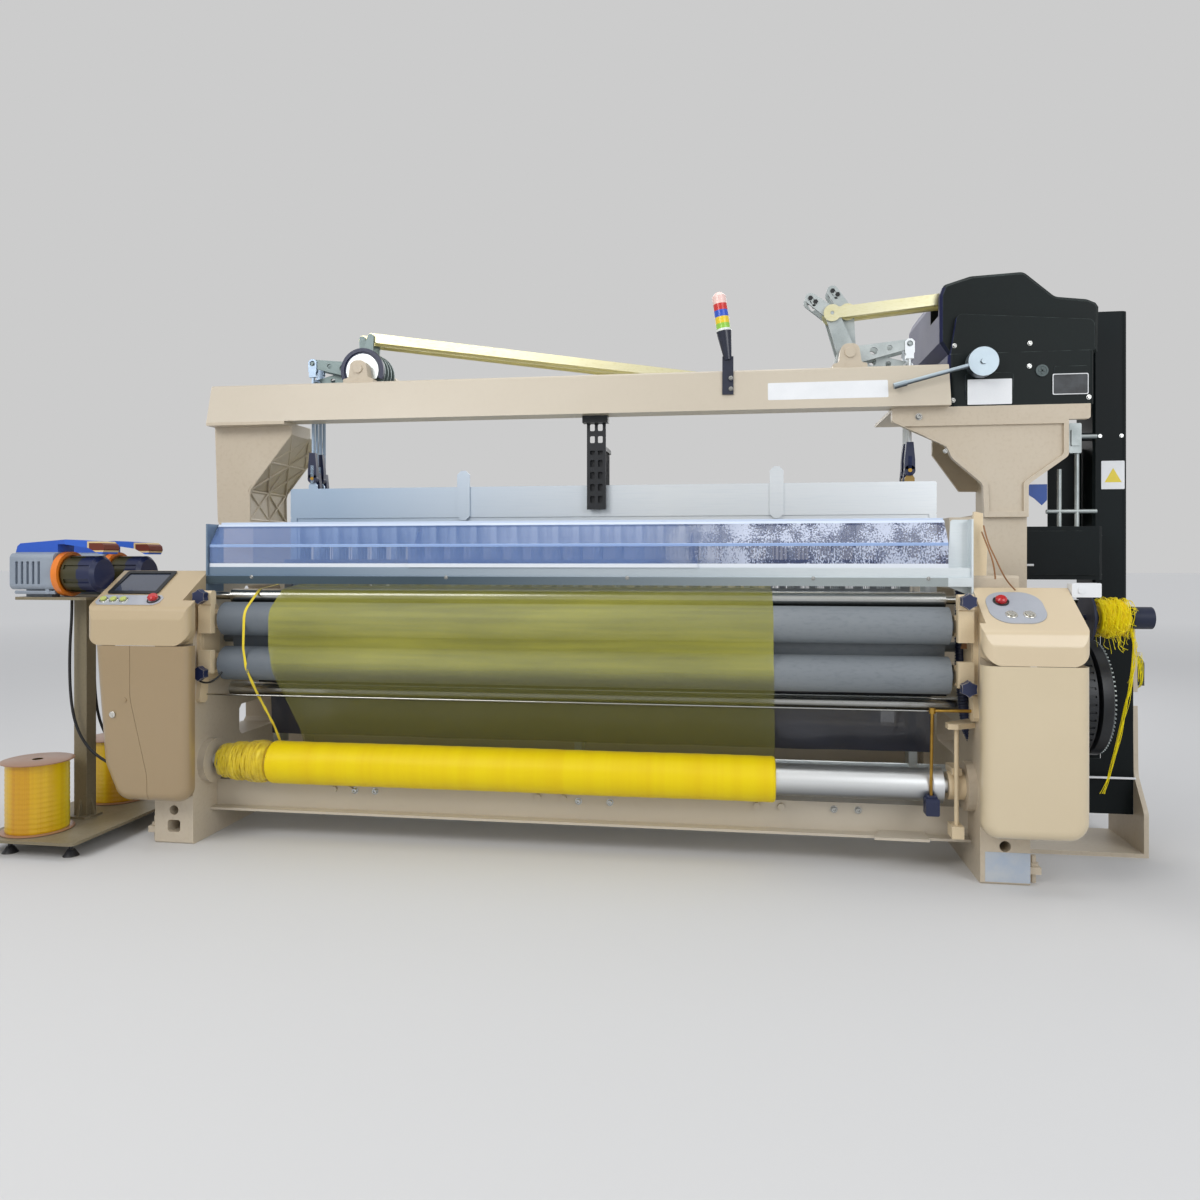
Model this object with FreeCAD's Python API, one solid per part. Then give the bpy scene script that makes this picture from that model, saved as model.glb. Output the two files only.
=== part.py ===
import FreeCAD, Part
import math
import os
from FreeCAD import Vector

# A water-jet power loom with a rotary dobby, a cloth take-up in front and a weft feeder stand.
# Millimetres. X runs to the right across the machine, Y to the back, Z up from the floor.
# Y = 0 is the front face of the two side frames and X = 0 lies midway between them.

# ---- side frames -------------------------------------------------------------------------
SMALL_ROUND = 16.0
FRAME_SPACING = 2780.0          # between the middle planes of the two side frames
FRAME_WIDTH = 146.0             # width of the cast rim, along X
FRAME_DEPTH = 1500.0            # front face to back face
FRAME_TOP = 950.0               # top edge of the low front part
FRAME_BACK_TOP = 900.0          # top edge of the back part
FRAME_RIM = 26.0                # thickness of the cast rim
FRAME_WEB = 18.0                # thickness of the cast web
COLUMN_TOP = 1150.0             # seat of the two posts
COLUMN_FRONT = 400.0
COLUMN_BACK = 750.0
SHOULDER_LOW = 720.0            # the slope that the consoles sit on
SHOULDER_HIGH = 880.0
SHOULDER_DEPTH = 110.0
RIGHT_COLUMN_SHIFT = 112.0      # the right column stands further out than the left one
FOOT_WINDOW = (48.0, 42.0)      # rounded window in the front of each foot
FOOT_HOLE_R = 17.0
WEB_WINDOW_R = 16.0

# ---- cross members ---------------------------------------------------------------------
CROSS_BEAM_Z = (95.0, 195.0)    # front cross beam, lower and upper edge
CROSS_BEAM_Y = (150.0, 330.0)
CROSS_BEAM_WALL = 8.0
REAR_BEAM_Z = (150.0, 330.0)
REAR_BEAM_Y = (850.0, 930.0)
TOP_BEAM_Z = (1538.0, 1688.0)
TOP_BEAM_FRONT_LOW = 340.0      # the front face leans back towards the top
TOP_BEAM_FRONT_HIGH = 378.0
TOP_BEAM_BACK = 436.0
TOP_BEAM_WALL = 6.0
REAR_TOP_BEAM_Y = (700.0, 780.0)
REAR_TOP_BEAM_LOW = 1602.0      # the rear beam is shallower and stands on end pads
TOP_BEAM_LEFT = -1480.0
TOP_BEAM_RIGHT = 1310.0
POST_WALL = 12.0

# ---- rollers and bars ------------------------------------------------------------------
GUIDE_BAR_R = 26.0
GUIDE_BAR_YZ = (130.0, 870.0)
PRESS_ROLLER_R = 60.0
UPPER_PRESS_YZ = (80.0, 790.0)
LOWER_PRESS_YZ = (80.0, 632.0)
TAKE_UP_R = 82.0
TAKE_UP_YZ = (208.0, 711.0)
CLOTH_PIPE_R = 25.0
CLOTH_PIPE_YZ = (250.0, 515.0)
WIRE_R = 3.0
WIRE_YZ = (60.0, 520.0)
CLOTH_BEAM_R = 52.0
CLOTH_BEAM_YZ = (100.0, 277.0)
CLOTH_ROLL_R = 75.0
CLOTH_ROLL_X = (-1070.0, 700.0)
ROLLER_ROOM = 77.0              # from a frame's inner face to the end of a roller's face
ROLLER_HALF = (FRAME_SPACING - FRAME_WIDTH) / 2 - ROLLER_ROOM
JOURNAL_R = 16.0
JOURNAL_FIT = 0.08              # radial running clearance of a journal in its bearing
SEAT_GAP = 0.3                  # clearance between curved faces that only meet
BRACKET_WALL = 16.0

# ---- cloth and warp --------------------------------------------------------------------
CLOTH_X = (-1045.0, 690.0)
CLOTH_THICK = 1.0
FELL_YZ = (300.0, 915.0)        # where the cloth begins
SELVEDGE_X = (-1128.0, -1116.0)
WARP_BEAM_YZ = (1350.0, 470.0)
WARP_BEAM_R = 90.0
WARP_FLANGE_R = 400.0
WARP_WOUND_R = 330.0
WARP_HALF = 1150.0
BACK_REST_YZ = (1250.0, 955.0)
BACK_REST_R = 48.0
WARP_END_Y = 620.0              # the warp sheet is drawn in behind the heald frames

# ---- sley ------------------------------------------------------------------------------
SLEY_PIVOT_YZ = (362.0, 262.0)
SLEY_PIVOT_R = 24.0
SLEY_BEAM_Z = (828.0, 886.0)
SLEY_BEAM_Y = (376.0, 416.0)
SLEY_HALF = 1225.0
REED_TOP = 1002.0
REED_HALF = 1180.0
REED_THICK = 9.0
REED_GAP_COUNT = 44
MAIN_SHAFT_YZ = (470.0, 520.0)
MAIN_SHAFT_R = 27.0

# ---- heald frames and their levers ------------------------------------------------------
HEALD_COUNT = 4
HEALD_PITCH = 32.0
HEALD_FIRST_Y = 457.0
HEALD_THICK = 12.0
HEALD_CENTRE_X = 50.0
HEALD_HALF = 1235.0
HEALD_HEIGHT = 600.0
HEALD_TOP_MID = 1245.0          # top edge with the shed closed
HEALD_TOP_RAIL = 118.0
HEALD_BOTTOM_RAIL = 60.0
HEALD_SIDE = 26.0
HEDDLE_GAP_COUNT = 30
LEVER_SWING = 20.0              # degrees from one shed to the other
LEVER_ARM = 220.0
LEVER_THICK = 8.0
LEVER_HUB_R = 38.0
SECTOR_R = 84.0
LEVER_PIVOT_Z = 1742.0
LEVER_SHAFT_R = 18.0
ROD_ARM = 138.0                 # arm that the cross rod joins
DOBBY_ARM = 168.0               # arm that the dobby rod joins
DOBBY_ARM_LEAN = 19.5           # degrees left of upright when the frame is raised
TOP_ARM = 255.0
ROD_THICK = 6.0
PIN_R = 6.0
OPEN_PIVOT_GAP = 5.0            # play round the pins at the loose ends of the linkage
HANGER_ROD_R = 6.0

# ---- dobby -----------------------------------------------------------------------------
DOBBY_X = (1310.0, 1790.0)
DOBBY_Y = (380.0, 1000.0)
DOBBY_Z = (1538.0, 1722.0)
DOBBY_TIER_Y = 405.0            # the back tier of the cover rises here
DOBBY_PEAK = 2010.0
DOBBY_WALL = 8.0
GUARD_X = (1862.0, 1982.0)
GUARD_Y = (590.0, 760.0)
GUARD_Z = (850.0, 1905.0)
HAND_LEVER_XZ = (1412.0, 1682.0)
HAND_LEVER_DISC_R = 50.0
HAND_LEVER_TIP_XZ = (1116.0, 1606.0)
DRIVE_PULLEY_R = 205.0
DRIVE_PULLEY_X = (1690.0, 1760.0)
DRIVE_TEETH = 48
WASTE_REEL_YZ = (220.0, 812.0)

# ---- covers and consoles ----------------------------------------------------------------
COVER_DEPTH = 110.0
COVER_WALL = 4.0
COVER_EDGE_R = 34.0
COVER_GAP = 1.5                 # open seam between two covers
LEFT_COVER_X = (-1650.0, -1270.0)
LEFT_SEAM_Z = 706.0
LEFT_COVER_BOTTOM = 172.0
RIGHT_COVER_X = (1300.0, 1602.0)
RIGHT_SEAM_Z = 684.0
RIGHT_COVER_BOTTOM = 166.0
LEFT_DESK = ((-100.0, 836.0), (104.0, 962.0))     # front and back edge of the sloped desk
RIGHT_DESK = ((-96.0, 786.0), (104.0, 913.0))
INBOARD_LIP = 48.0              # how far the covers reach back where they overhang the brackets
SCREEN_SIZE = (186.0, 133.0)
BUTTON_R = 11.0
BUTTON_TRAVEL = 4.0
ESTOP_R = 17.0
BUTTON_FIT = 0.1
STEM_SHARE = 0.5

# ---- breast rail and shields --------------------------------------------------------------
RAIL_Z = (915.0, 975.0)
RAIL_Y = (78.0, 122.0)
SHIELD_TOP = 1130.0
SHIELD_LEAN = 60.0
SHIELD_THICK = 4.0
SHIELD_SLIDE = 620.0

# ---- weft feeder stand ---------------------------------------------------------------------
STAND_X = (-1980.0, -1600.0)
STAND_Y = (-230.0, 462.0)
STAND_PLATE_Z = (50.0, 60.0)
STAND_POST_XY = (-1795.0, 75.0)
STAND_POST_SIDE = 50.0
STAND_POST_TOP = 858.0
FEEDER_Y = (0.0, 250.0)
FEEDER_Z = 950.0
FEEDER_RISE = 17.0              # the housing's middle stands above the drum's axis
FEEDER_BODY_X = (-1984.0, -1812.0)
FEEDER_RING_R = 80.0
FEEDER_DRUM_R = 65.0
FEEDER_NOSE_X = -1660.0
SPOOL_X = -1842.0
SPOOL_Y = (-98.0, 315.0)
SPOOL_R = 114.0
SPOOL_HEIGHT = 245.0
CABLE_R = 5.0
CABLE_SIDES = 6

# ---- signal tower --------------------------------------------------------------------------
TOWER_X = 543.0
TOWER_LEAN = 8.0
LAMP_R = 25.0
LAMP_HEIGHT = 24.0
LAMP_DOME = 20.0

nodes = {}


def box(x0, x1, y0, y1, z0, z1):
    return Part.makeBox(x1 - x0, y1 - y0, z1 - z0, Vector(x0, y0, z0))


def rod_x(x0, x1, yz, radius):
    return Part.makeCylinder(radius, x1 - x0, Vector(x0, yz[0], yz[1]), Vector(1, 0, 0))


def rod_y(y0, y1, xz, radius):
    return Part.makeCylinder(radius, y1 - y0, Vector(xz[0], y0, xz[1]), Vector(0, 1, 0))


def rod_z(z0, z1, xy, radius):
    return Part.makeCylinder(radius, z1 - z0, Vector(xy[0], xy[1], z0), Vector(0, 0, 1))


def corner_arc(before, corner, after, radius):
    """Start, middle and end of the tangent arc that rounds one corner of an outline."""
    back = (before - corner).normalize()
    ahead = (after - corner).normalize()
    half = back.getAngle(ahead) / 2
    bisector = (back + ahead).normalize()
    centre = corner + bisector * (radius / math.sin(half))
    reach = radius / math.tan(half)
    return corner + back * reach, centre - bisector * radius, corner + ahead * reach


def outline(points, lift):
    """Closed wire through (u, v) or (u, v, radius) corners; lift puts (u, v) in space.

    A corner rounder than SMALL_ROUND is an arc, and a smaller one is cut straight.
    """
    corners = [Vector(p[0], p[1], 0) for p in points]
    rounds = [p[2] if len(p) > 2 else 0.0 for p in points]
    stops = []
    for i, corner in enumerate(corners):
        if rounds[i] == 0:
            stops.append((corner, None, corner))
            continue
        after = corners[(i + 1) % len(corners)]
        start, middle, end = corner_arc(corners[i - 1], corner, after, rounds[i])
        stops.append((start, middle if rounds[i] > SMALL_ROUND else None, end))
    edges = []
    for i, (start, middle, end) in enumerate(stops):
        if middle is not None:
            edges.append(Part.Arc(lift(start), lift(middle), lift(end)).toShape())
        elif (end - start).Length > 1e-6:
            edges.append(Part.LineSegment(lift(start), lift(end)).toShape())
        following = stops[(i + 1) % len(stops)][0]
        if (following - end).Length > 1e-6:
            edges.append(Part.LineSegment(lift(end), lift(following)).toShape())
    return Part.Wire(edges)


def slab_x(points, x0, x1):
    """A plate with a (Y, Z) outline, extruded along X."""
    wire = outline(points, lambda p: Vector(x0, p.x, p.y))
    return Part.Face(wire).extrude(Vector(x1 - x0, 0, 0))


def slab_y(points, y0, y1):
    """A plate with an (X, Z) outline, extruded along Y."""
    wire = outline(points, lambda p: Vector(p.x, y0, p.y))
    return Part.Face(wire).extrude(Vector(0, y1 - y0, 0))


def slab_z(points, z0, z1):
    """A plate with an (X, Y) outline, extruded along Z."""
    wire = outline(points, lambda p: Vector(p.x, p.y, z0))
    return Part.Face(wire).extrude(Vector(0, 0, z1 - z0))


def frame_of(points, inset):
    """The same outline moved inwards by inset, for convex outlines given counter-clockwise."""
    moved = []
    for i, point in enumerate(points):
        corner = Vector(point[0], point[1], 0)
        before = corner - Vector(points[i - 1][0], points[i - 1][1], 0)
        following = points[(i + 1) % len(points)]
        after = Vector(following[0], following[1], 0) - corner
        before.normalize()
        after.normalize()
        normal_before = Vector(-before.y, before.x, 0)
        normal_after = Vector(-after.y, after.x, 0)
        spread = 1 + normal_before.dot(normal_after)
        shifted = corner + (normal_before + normal_after) * (inset / spread)
        radius = max(point[2] - inset, 1.0) if len(point) > 2 else 0.0
        moved.append((shifted.x, shifted.y, radius))
    return moved


def rectangle(u0, u1, v0, v1, radius=0.0):
    return [(u0, v0, radius), (u1, v0, radius), (u1, v1, radius), (u0, v1, radius)]


def hexagon(centre, across):
    """Outline of a bolt head, nut or turnbuckle, given its size across flats."""
    return [turned(centre, 60 * i, across / math.sqrt(3)) for i in range(6)]


def star_knob(centre, radius):
    """Outline of a clamping knob with six lobes."""
    return [turned(centre, 30 * i, radius if i % 2 else radius * 0.8) for i in range(12)]


def fuse(shapes):
    """One solid from pieces that share volume or faces."""
    return shapes[0].multiFuse(shapes[1:]).removeSplitter()


def group(shapes):
    """Separate solids that share one node."""
    return Part.makeCompound(shapes)


def tapered_link(start, end, y0, y1):
    """A flat link between two round eyes given as (x, z, radius), extruded along Y."""
    a = Vector(start[0], y0, start[1])
    b = Vector(end[0], y0, end[1])
    along = (b - a)
    reach = along.Length
    along.normalize()
    across = Vector(-along.z, 0, along.x)
    lean = (start[2] - end[2]) / reach
    side = math.sqrt(1 - lean * lean)
    upper = along * lean + across * side
    lower = along * lean - across * side
    edges = [
        Part.LineSegment(a + lower * start[2], b + lower * end[2]).toShape(),
        Part.Arc(b + lower * end[2], b + along * end[2], b + upper * end[2]).toShape(),
        Part.LineSegment(b + upper * end[2], a + upper * start[2]).toShape(),
        Part.Arc(a + upper * start[2], a - along * start[2], a + lower * start[2]).toShape(),
    ]
    return Part.Face(Part.Wire(edges)).extrude(Vector(0, y1 - y0, 0))


def turned(xz, angle, length):
    """A point (x, z) at a distance from xz, angle in degrees from +X towards +Z."""
    a = math.radians(angle)
    return (xz[0] + length * math.cos(a), xz[1] + length * math.sin(a))


def sheet_side(stops, shift):
    """Edges of a path in the (Y, Z) plane, moved sideways by shift.

    Each stop is (y, z, r): the path wraps a circle on its left when r is above 0, on its
    right when r is below 0, and starts or ends at a plain point when r is 0.
    """
    tangents = []
    for (y1, z1, r1), (y2, z2, r2) in zip(stops, stops[1:]):
        s1 = r1 - shift if r1 else -shift
        s2 = r2 - shift if r2 else -shift
        distance = math.hypot(y2 - y1, z2 - z1)
        angle = math.atan2(z2 - z1, y2 - y1) - math.asin((s2 - s1) / distance)
        if tangents:
            angle += 2 * math.pi * round((tangents[-1][0] - angle) / (2 * math.pi))
        left = (-math.sin(angle), math.cos(angle))
        tangents.append((angle, (y1 - left[0] * s1, z1 - left[1] * s1),
                         (y2 - left[0] * s2, z2 - left[1] * s2)))
    edges = []
    for i, (angle, start, end) in enumerate(tangents):
        edges.append(("line", start, end))
        if i + 1 < len(tangents):
            y, z, r = stops[i + 1]
            radius = r - shift
            middle = (angle + tangents[i + 1][0]) / 2
            turn = (y + math.sin(middle) * radius, z - math.cos(middle) * radius)
            edges.append(("arc", end, turn, tangents[i + 1][1]))
    return edges


def sheet(stops, thickness, x0, x1):
    """A thin sheet of constant thickness along a path round rollers, extruded along X."""
    def lift(p):
        return Vector(x0, p[0], p[1])

    def draw(path):
        drawn = []
        for kind, *points in path:
            lifted = [lift(p) for p in points]
            curve = Part.LineSegment if kind == "line" else Part.Arc
            drawn.append(curve(*lifted).toShape())
        return drawn

    one = sheet_side(stops, thickness / 2)
    other = sheet_side(stops, -thickness / 2)
    edges = draw(one) + draw(other)
    edges.append(Part.LineSegment(lift(one[0][1]), lift(other[0][1])).toShape())
    edges.append(Part.LineSegment(lift(one[-1][-1]), lift(other[-1][-1])).toShape())
    wire = Part.Wire(Part.sortEdges(edges)[0])
    return Part.Face(wire).extrude(Vector(x1 - x0, 0, 0))


# ---- side frames -----------------------------------------------------------------------------

def frame_inner(side):
    """X of a side frame's inner face; side is -1 for the left frame and 1 for the right one."""
    return side * (FRAME_SPACING - FRAME_WIDTH) / 2


def frame_outer(side):
    return side * (FRAME_SPACING + FRAME_WIDTH) / 2


FRAME_OUTLINE = [
    (0, 0, 6), (FRAME_DEPTH, 0, 20), (FRAME_DEPTH, 640, 60), (1345, FRAME_BACK_TOP, 60),
    (850, FRAME_BACK_TOP, 60), (COLUMN_BACK, 1010, 40), (COLUMN_BACK, COLUMN_TOP),
    (COLUMN_FRONT, COLUMN_TOP), (COLUMN_FRONT, FRAME_TOP, 30), (SHOULDER_DEPTH, FRAME_TOP, 8),
    (SHOULDER_DEPTH, SHOULDER_HIGH, 6), (0, SHOULDER_LOW, 10),
]
POCKET_OUTLINES = [
    rectangle(215, 600, 60, 200, WEB_WINDOW_R),
    rectangle(640, 830, 60, 430, WEB_WINDOW_R),
    rectangle(300, 600, 330, 445, WEB_WINDOW_R),
    rectangle(330, 620, 600, 900, WEB_WINDOW_R),
    rectangle(660, 960, 480, 850, WEB_WINDOW_R),
    rectangle(1010, 1240, 480, 850, WEB_WINDOW_R),
    rectangle(1150, 1460, 60, 330, WEB_WINDOW_R),
]


def side_frame(side):
    """Cast wall: a deep rim, a web towards the machine, ribs and windows between them."""
    inner = frame_inner(side)
    outer = frame_outer(side)
    x0, x1 = min(inner, outer), max(inner, outer)
    wall = slab_x(FRAME_OUTLINE, x0, x1)
    pocket_start = inner + side * FRAME_WEB
    pocket_end = outer + side
    pockets = []
    for window in POCKET_OUTLINES:
        pockets.append(slab_x(window, x0 - 1, x1 + 1))
    hollows = [
        rectangle(FRAME_RIM, 190, 215, SHOULDER_LOW - 40, SMALL_ROUND),
        rectangle(COLUMN_FRONT + FRAME_RIM, COLUMN_BACK - FRAME_RIM, 930, COLUMN_TOP - FRAME_RIM,
                  SMALL_ROUND),
        rectangle(1265, FRAME_DEPTH - FRAME_RIM, 360, 600, SMALL_ROUND),
        rectangle(120, 300, 660, 850, SMALL_ROUND),
    ]
    for hollow in hollows:
        low, high = min(pocket_start, pocket_end), max(pocket_start, pocket_end)
        pockets.append(slab_x(hollow, low, high))
    centre = (inner + outer) / 2
    pockets.append(rod_y(-1, 190, (centre, 118), FOOT_HOLE_R))
    half_w, half_h = FOOT_WINDOW[0] / 2, FOOT_WINDOW[1] / 2
    window = rectangle(centre - half_w, centre + half_w, 62 - half_h, 62 + half_h, 6)
    pockets.append(slab_y(window, -1, 190))
    bores = []
    for yz in (TAKE_UP_YZ, CLOTH_BEAM_YZ, WARP_BEAM_YZ, SLEY_PIVOT_YZ, MAIN_SHAFT_YZ):
        bores.append(rod_x(x0 - 30, x1 + 30, yz, bore_radius(yz)))
    bosses = []
    for yz in (TAKE_UP_YZ, WARP_BEAM_YZ, SLEY_PIVOT_YZ, MAIN_SHAFT_YZ):
        bosses.append(rod_x(x0, x1, yz, bore_radius(yz) + 24))
    beam_boss = rod_x(min(inner, inner - side * 26), max(inner, inner - side * 26), CLOTH_BEAM_YZ, 78)
    casting = fuse([wall.cut(group(pockets)), bearing_shelf(side), beam_boss] + bosses)
    return casting.cut(group(bores))


def bore_radius(yz):
    shafts = {
        TAKE_UP_YZ: JOURNAL_R, CLOTH_BEAM_YZ: JOURNAL_R * 1.5, WARP_BEAM_YZ: JOURNAL_R * 2,
        SLEY_PIVOT_YZ: SLEY_PIVOT_R, MAIN_SHAFT_YZ: MAIN_SHAFT_R,
    }
    return shafts[yz] + JOURNAL_FIT


def levelling_bolts(side):
    """Threaded studs in lugs on the outer face of each foot."""
    bolts = []
    outer = frame_outer(side)
    for y in (40, FRAME_DEPTH - 60):
        centre = (outer + side * 20, y)
        lug = box(min(outer, outer + side * 38), max(outer, outer + side * 38), y - 22, y + 22, 30, 52)
        stud = slab_z(hexagon(centre, 16), 0, 84)
        nut = slab_z(hexagon(centre, 28), 52, 62)
        bolts.append(fuse([lug, stud, nut]))
    return bolts


def right_column():
    """The outboard seat of the right post, cast on to the right frame's column."""
    inner = frame_inner(1)
    x0 = inner + RIGHT_COLUMN_SHIFT
    x1 = x0 + FRAME_WIDTH
    column = box(frame_outer(1), x1, COLUMN_FRONT, COLUMN_BACK, 860, COLUMN_TOP)
    hollow = box(frame_outer(1), x1 - FRAME_RIM, COLUMN_FRONT + FRAME_RIM, COLUMN_BACK - FRAME_RIM,
                 859, COLUMN_TOP - FRAME_RIM)
    return column.cut(hollow)


def belt_bracket():
    """Plate outside the drive belt, standing on a foot rail from the right frame."""
    outline_yz = [
        (330, 14), (620, 14), (620, 150, 40), (560, 260, 60), (548, 720, 20), (420, 720, 20),
        (408, 260, 60), (330, 150, 40),
    ]
    plate = slab_x(outline_yz, 1925, 1940).cut(rod_x(1924, 1941, MAIN_SHAFT_YZ, 60))
    rail = box(frame_outer(1), 1940, 330, 620, 0, 14)
    arm = slab_x([(462, 640), (492, 640), (512, 770, 15), (462, 770, 15)], 1940, 1952)
    hook = slab_x([(470, 560), (500, 560), (500, 625, 10), (530, 650, 8), (505, 662, 8), (470, 640)],
                  1940, 1985)
    return fuse([plate, rail, arm, hook])


def build_side_frames():
    nodes["left_side_frame"] = group([side_frame(-1)] + levelling_bolts(-1))
    right = fuse([side_frame(1), right_column()])
    nodes["right_side_frame"] = group([right, belt_bracket()] + levelling_bolts(1))


# ---- cross members and posts ---------------------------------------------------------------------

def build_cross_beams():
    """Front channel with a wide lower flange, and a rear channel; bolted between the frames."""
    left, right = frame_inner(-1), frame_inner(1)
    y0, y1 = CROSS_BEAM_Y
    z0, z1 = CROSS_BEAM_Z
    wall = CROSS_BEAM_WALL
    front_profile = [
        (y0 - 45, z0), (y1, z0), (y1, z0 + wall), (y0 + wall, z0 + wall), (y0 + wall, z1 - wall),
        (y1, z1 - wall), (y1, z1), (y0, z1), (y0, z0 + wall), (y0 - 45, z0 + wall),
    ]
    front = slab_x(front_profile, left, right)
    bolts = []
    for x in (-860, -800, -110, -20, 640, 720):
        bolts.append(slab_y(hexagon((x, (z0 + z1) / 2 + 30), 20), y0 - 9, y0))
    shelf = slab_z([(1010, 60), (1180, 60), (1180, y0), (1040, y0)], z0 + wall, z0 + 2 * wall)
    y2, y3 = REAR_BEAM_Y
    z2, z3 = REAR_BEAM_Z
    rear_profile = [
        (y2, z2), (y3, z2), (y3, z3), (y2, z3), (y2, z3 - wall), (y3 - wall, z3 - wall),
        (y3 - wall, z2 + wall), (y2, z2 + wall),
    ]
    rear = slab_x(rear_profile, left, right)
    nodes["cross_beams"] = group([fuse([front, shelf] + bolts), rear])


def build_top_beams():
    """Folded front beam whose face leans back, and a rear channel, joined by end plates."""
    z0, z1 = TOP_BEAM_Z
    t = TOP_BEAM_WALL
    front_profile = [
        (TOP_BEAM_FRONT_LOW, z0), (TOP_BEAM_BACK, z0), (TOP_BEAM_BACK, z0 + t),
        (TOP_BEAM_FRONT_LOW + t + 2, z0 + t), (TOP_BEAM_FRONT_HIGH + t, z1 - t),
        (TOP_BEAM_BACK, z1 - t), (TOP_BEAM_BACK, z1), (TOP_BEAM_FRONT_HIGH, z1, 8),
    ]
    front = slab_x(front_profile, TOP_BEAM_LEFT, TOP_BEAM_RIGHT)
    y0, y1 = REAR_TOP_BEAM_Y
    low = REAR_TOP_BEAM_LOW
    rear_profile = [
        (y0, low), (y1, low), (y1, z1), (y0, z1), (y0, z1 - t), (y1 - t, z1 - t),
        (y1 - t, low + t), (y0, low + t),
    ]
    rear = slab_x(rear_profile, TOP_BEAM_LEFT, TOP_BEAM_RIGHT)
    pads = [box(x, x + 110, y0, y1 - 12, z0, low + t) for x in (TOP_BEAM_LEFT, TOP_BEAM_RIGHT - 110)]
    end_profile = [
        (TOP_BEAM_FRONT_LOW + t, z0), (y1, z0), (y1, z1, 8), (TOP_BEAM_FRONT_HIGH + t, z1, 8),
    ]
    window = slab_x(rectangle(470, 680, z0 + 34, z1 - 34, 20), TOP_BEAM_LEFT, TOP_BEAM_LEFT + t)
    end = slab_x(end_profile, TOP_BEAM_LEFT, TOP_BEAM_LEFT + t).cut(window)
    nodes["top_beams"] = fuse([front, rear, end] + pads)


def build_left_post():
    """Folded front panel with a ribbed casting behind its slanted inner edge."""
    base, top = COLUMN_TOP, TOP_BEAM_Z[0]
    y0 = COLUMN_FRONT
    wall = POST_WALL
    outer = frame_outer(-1) - 4
    inner = frame_inner(-1) - 13
    panel_points = [
        (outer, base), (inner, base), (inner - 8, base + 128, 30), (-1155, top - 46, 20),
        (-1155, top), (TOP_BEAM_LEFT, top),
    ]
    panel = slab_y(panel_points, y0, y0 + wall)
    side = slab_x(rectangle(y0, COLUMN_BACK, base, top), outer, outer + wall)
    foot = box(outer, inner, y0, COLUMN_BACK, base, base + wall)
    head_points = [(TOP_BEAM_LEFT, TOP_BEAM_FRONT_LOW), (-1155, TOP_BEAM_FRONT_LOW), (-1155, 560),
                   (-1340, REAR_TOP_BEAM_Y[1]), (TOP_BEAM_LEFT, REAR_TOP_BEAM_Y[1])]
    head = slab_z(head_points, top - wall, top)
    edge_points = [
        (inner - 14, base), (inner, base), (inner - 8, base + 128), (-1155, top - 46),
        (-1155, top), (-1170, top), (-1170, top - 40), (inner - 22, base + 132),
    ]
    edge = slab_y(edge_points, y0, y0 + 160)
    ribs = []
    for x in (-1400, -1325, -1250):
        ribs.append(box(x, x + 8, y0, y0 + 150, base + 128 + (x + 1400) * 1.3, top))
    for z in (base + 70, base + 180, base + 270):
        ribs.append(box(outer, -1380 + max(0, z - base - 128) * 0.8, y0, y0 + 150, z, z + 8))
    nodes["left_post"] = fuse([panel, side, foot, head, edge] + ribs)


def build_right_post():
    """Y-shaped cast post with a raised border; it carries the beams' right end and the dobby."""
    base, top = COLUMN_TOP, TOP_BEAM_Z[0]
    x0 = frame_inner(1) + RIGHT_COLUMN_SHIFT
    x1 = x0 + FRAME_WIDTH
    y0 = DOBBY_Y[0]
    face = [
        (x0, base), (x1, base), (x1, base + 113, 20), (1706, base + 210, 20),
        (1706, top - 52), (1776, top - 52, 6), (1776, top), (1118, top), (1118, top - 48, 6),
        (1302, top - 136, 30), (1322, base + 207, 30), (x0 - 4, base + 115, 30),
    ]
    plate = slab_y(face, y0 + 10, y0 + 26)
    recess = [
        (x0 + 16, base + 20), (x1 - 16, base + 20), (x1 - 16, base + 121, 20), (1690, base + 216, 20),
        (1690, top - 66), (1160, top - 66), (1318, top - 146, 30), (1338, base + 216, 30),
        (x0 + 12, base + 122, 30),
    ]
    border = slab_y(face, y0, y0 + 12).cut(slab_y(recess, y0 - 1, y0 + 13))
    foot = box(x0, x1, y0 + 20, COLUMN_BACK, base, base + 14)
    web = box((x0 + x1) / 2 - 8, (x0 + x1) / 2 + 8, y0 + 26, COLUMN_BACK, base, top)
    head = box(1118, 1776, y0, COLUMN_BACK + 20, top - 12, top)
    hanger_x = HEALD_CENTRE_X + HOOK_HALF
    hanger_slot = box(hanger_x - 30, hanger_x + 30, HEALD_FIRST_Y - HEALD_PITCH,
                      HEALD_FIRST_Y + HEALD_COUNT * HEALD_PITCH, top - 13, top + 1)
    head = head.cut(hanger_slot)
    cheek_points = [(x0 - 100, top), (x0 - 100, top - 130), (x0, base + 115), (x1, base + 113),
                    (1706, base + 210), (1706, top)]
    rear_plate = slab_y(cheek_points, COLUMN_BACK - 16, COLUMN_BACK)
    nodes["right_post"] = fuse([plate, border, foot, web, head, rear_plate])


# ---- covers, consoles and their controls ----------------------------------------------------------

def front_edges(shape, y):
    """Edges of a shape that lie in the plane at this Y."""
    chosen = []
    for edge in shape.Edges:
        bounds = edge.BoundBox
        if abs(bounds.YMin - y) < 1e-3 and abs(bounds.YMax - y) < 1e-3:
            chosen.append(edge)
    return chosen


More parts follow.
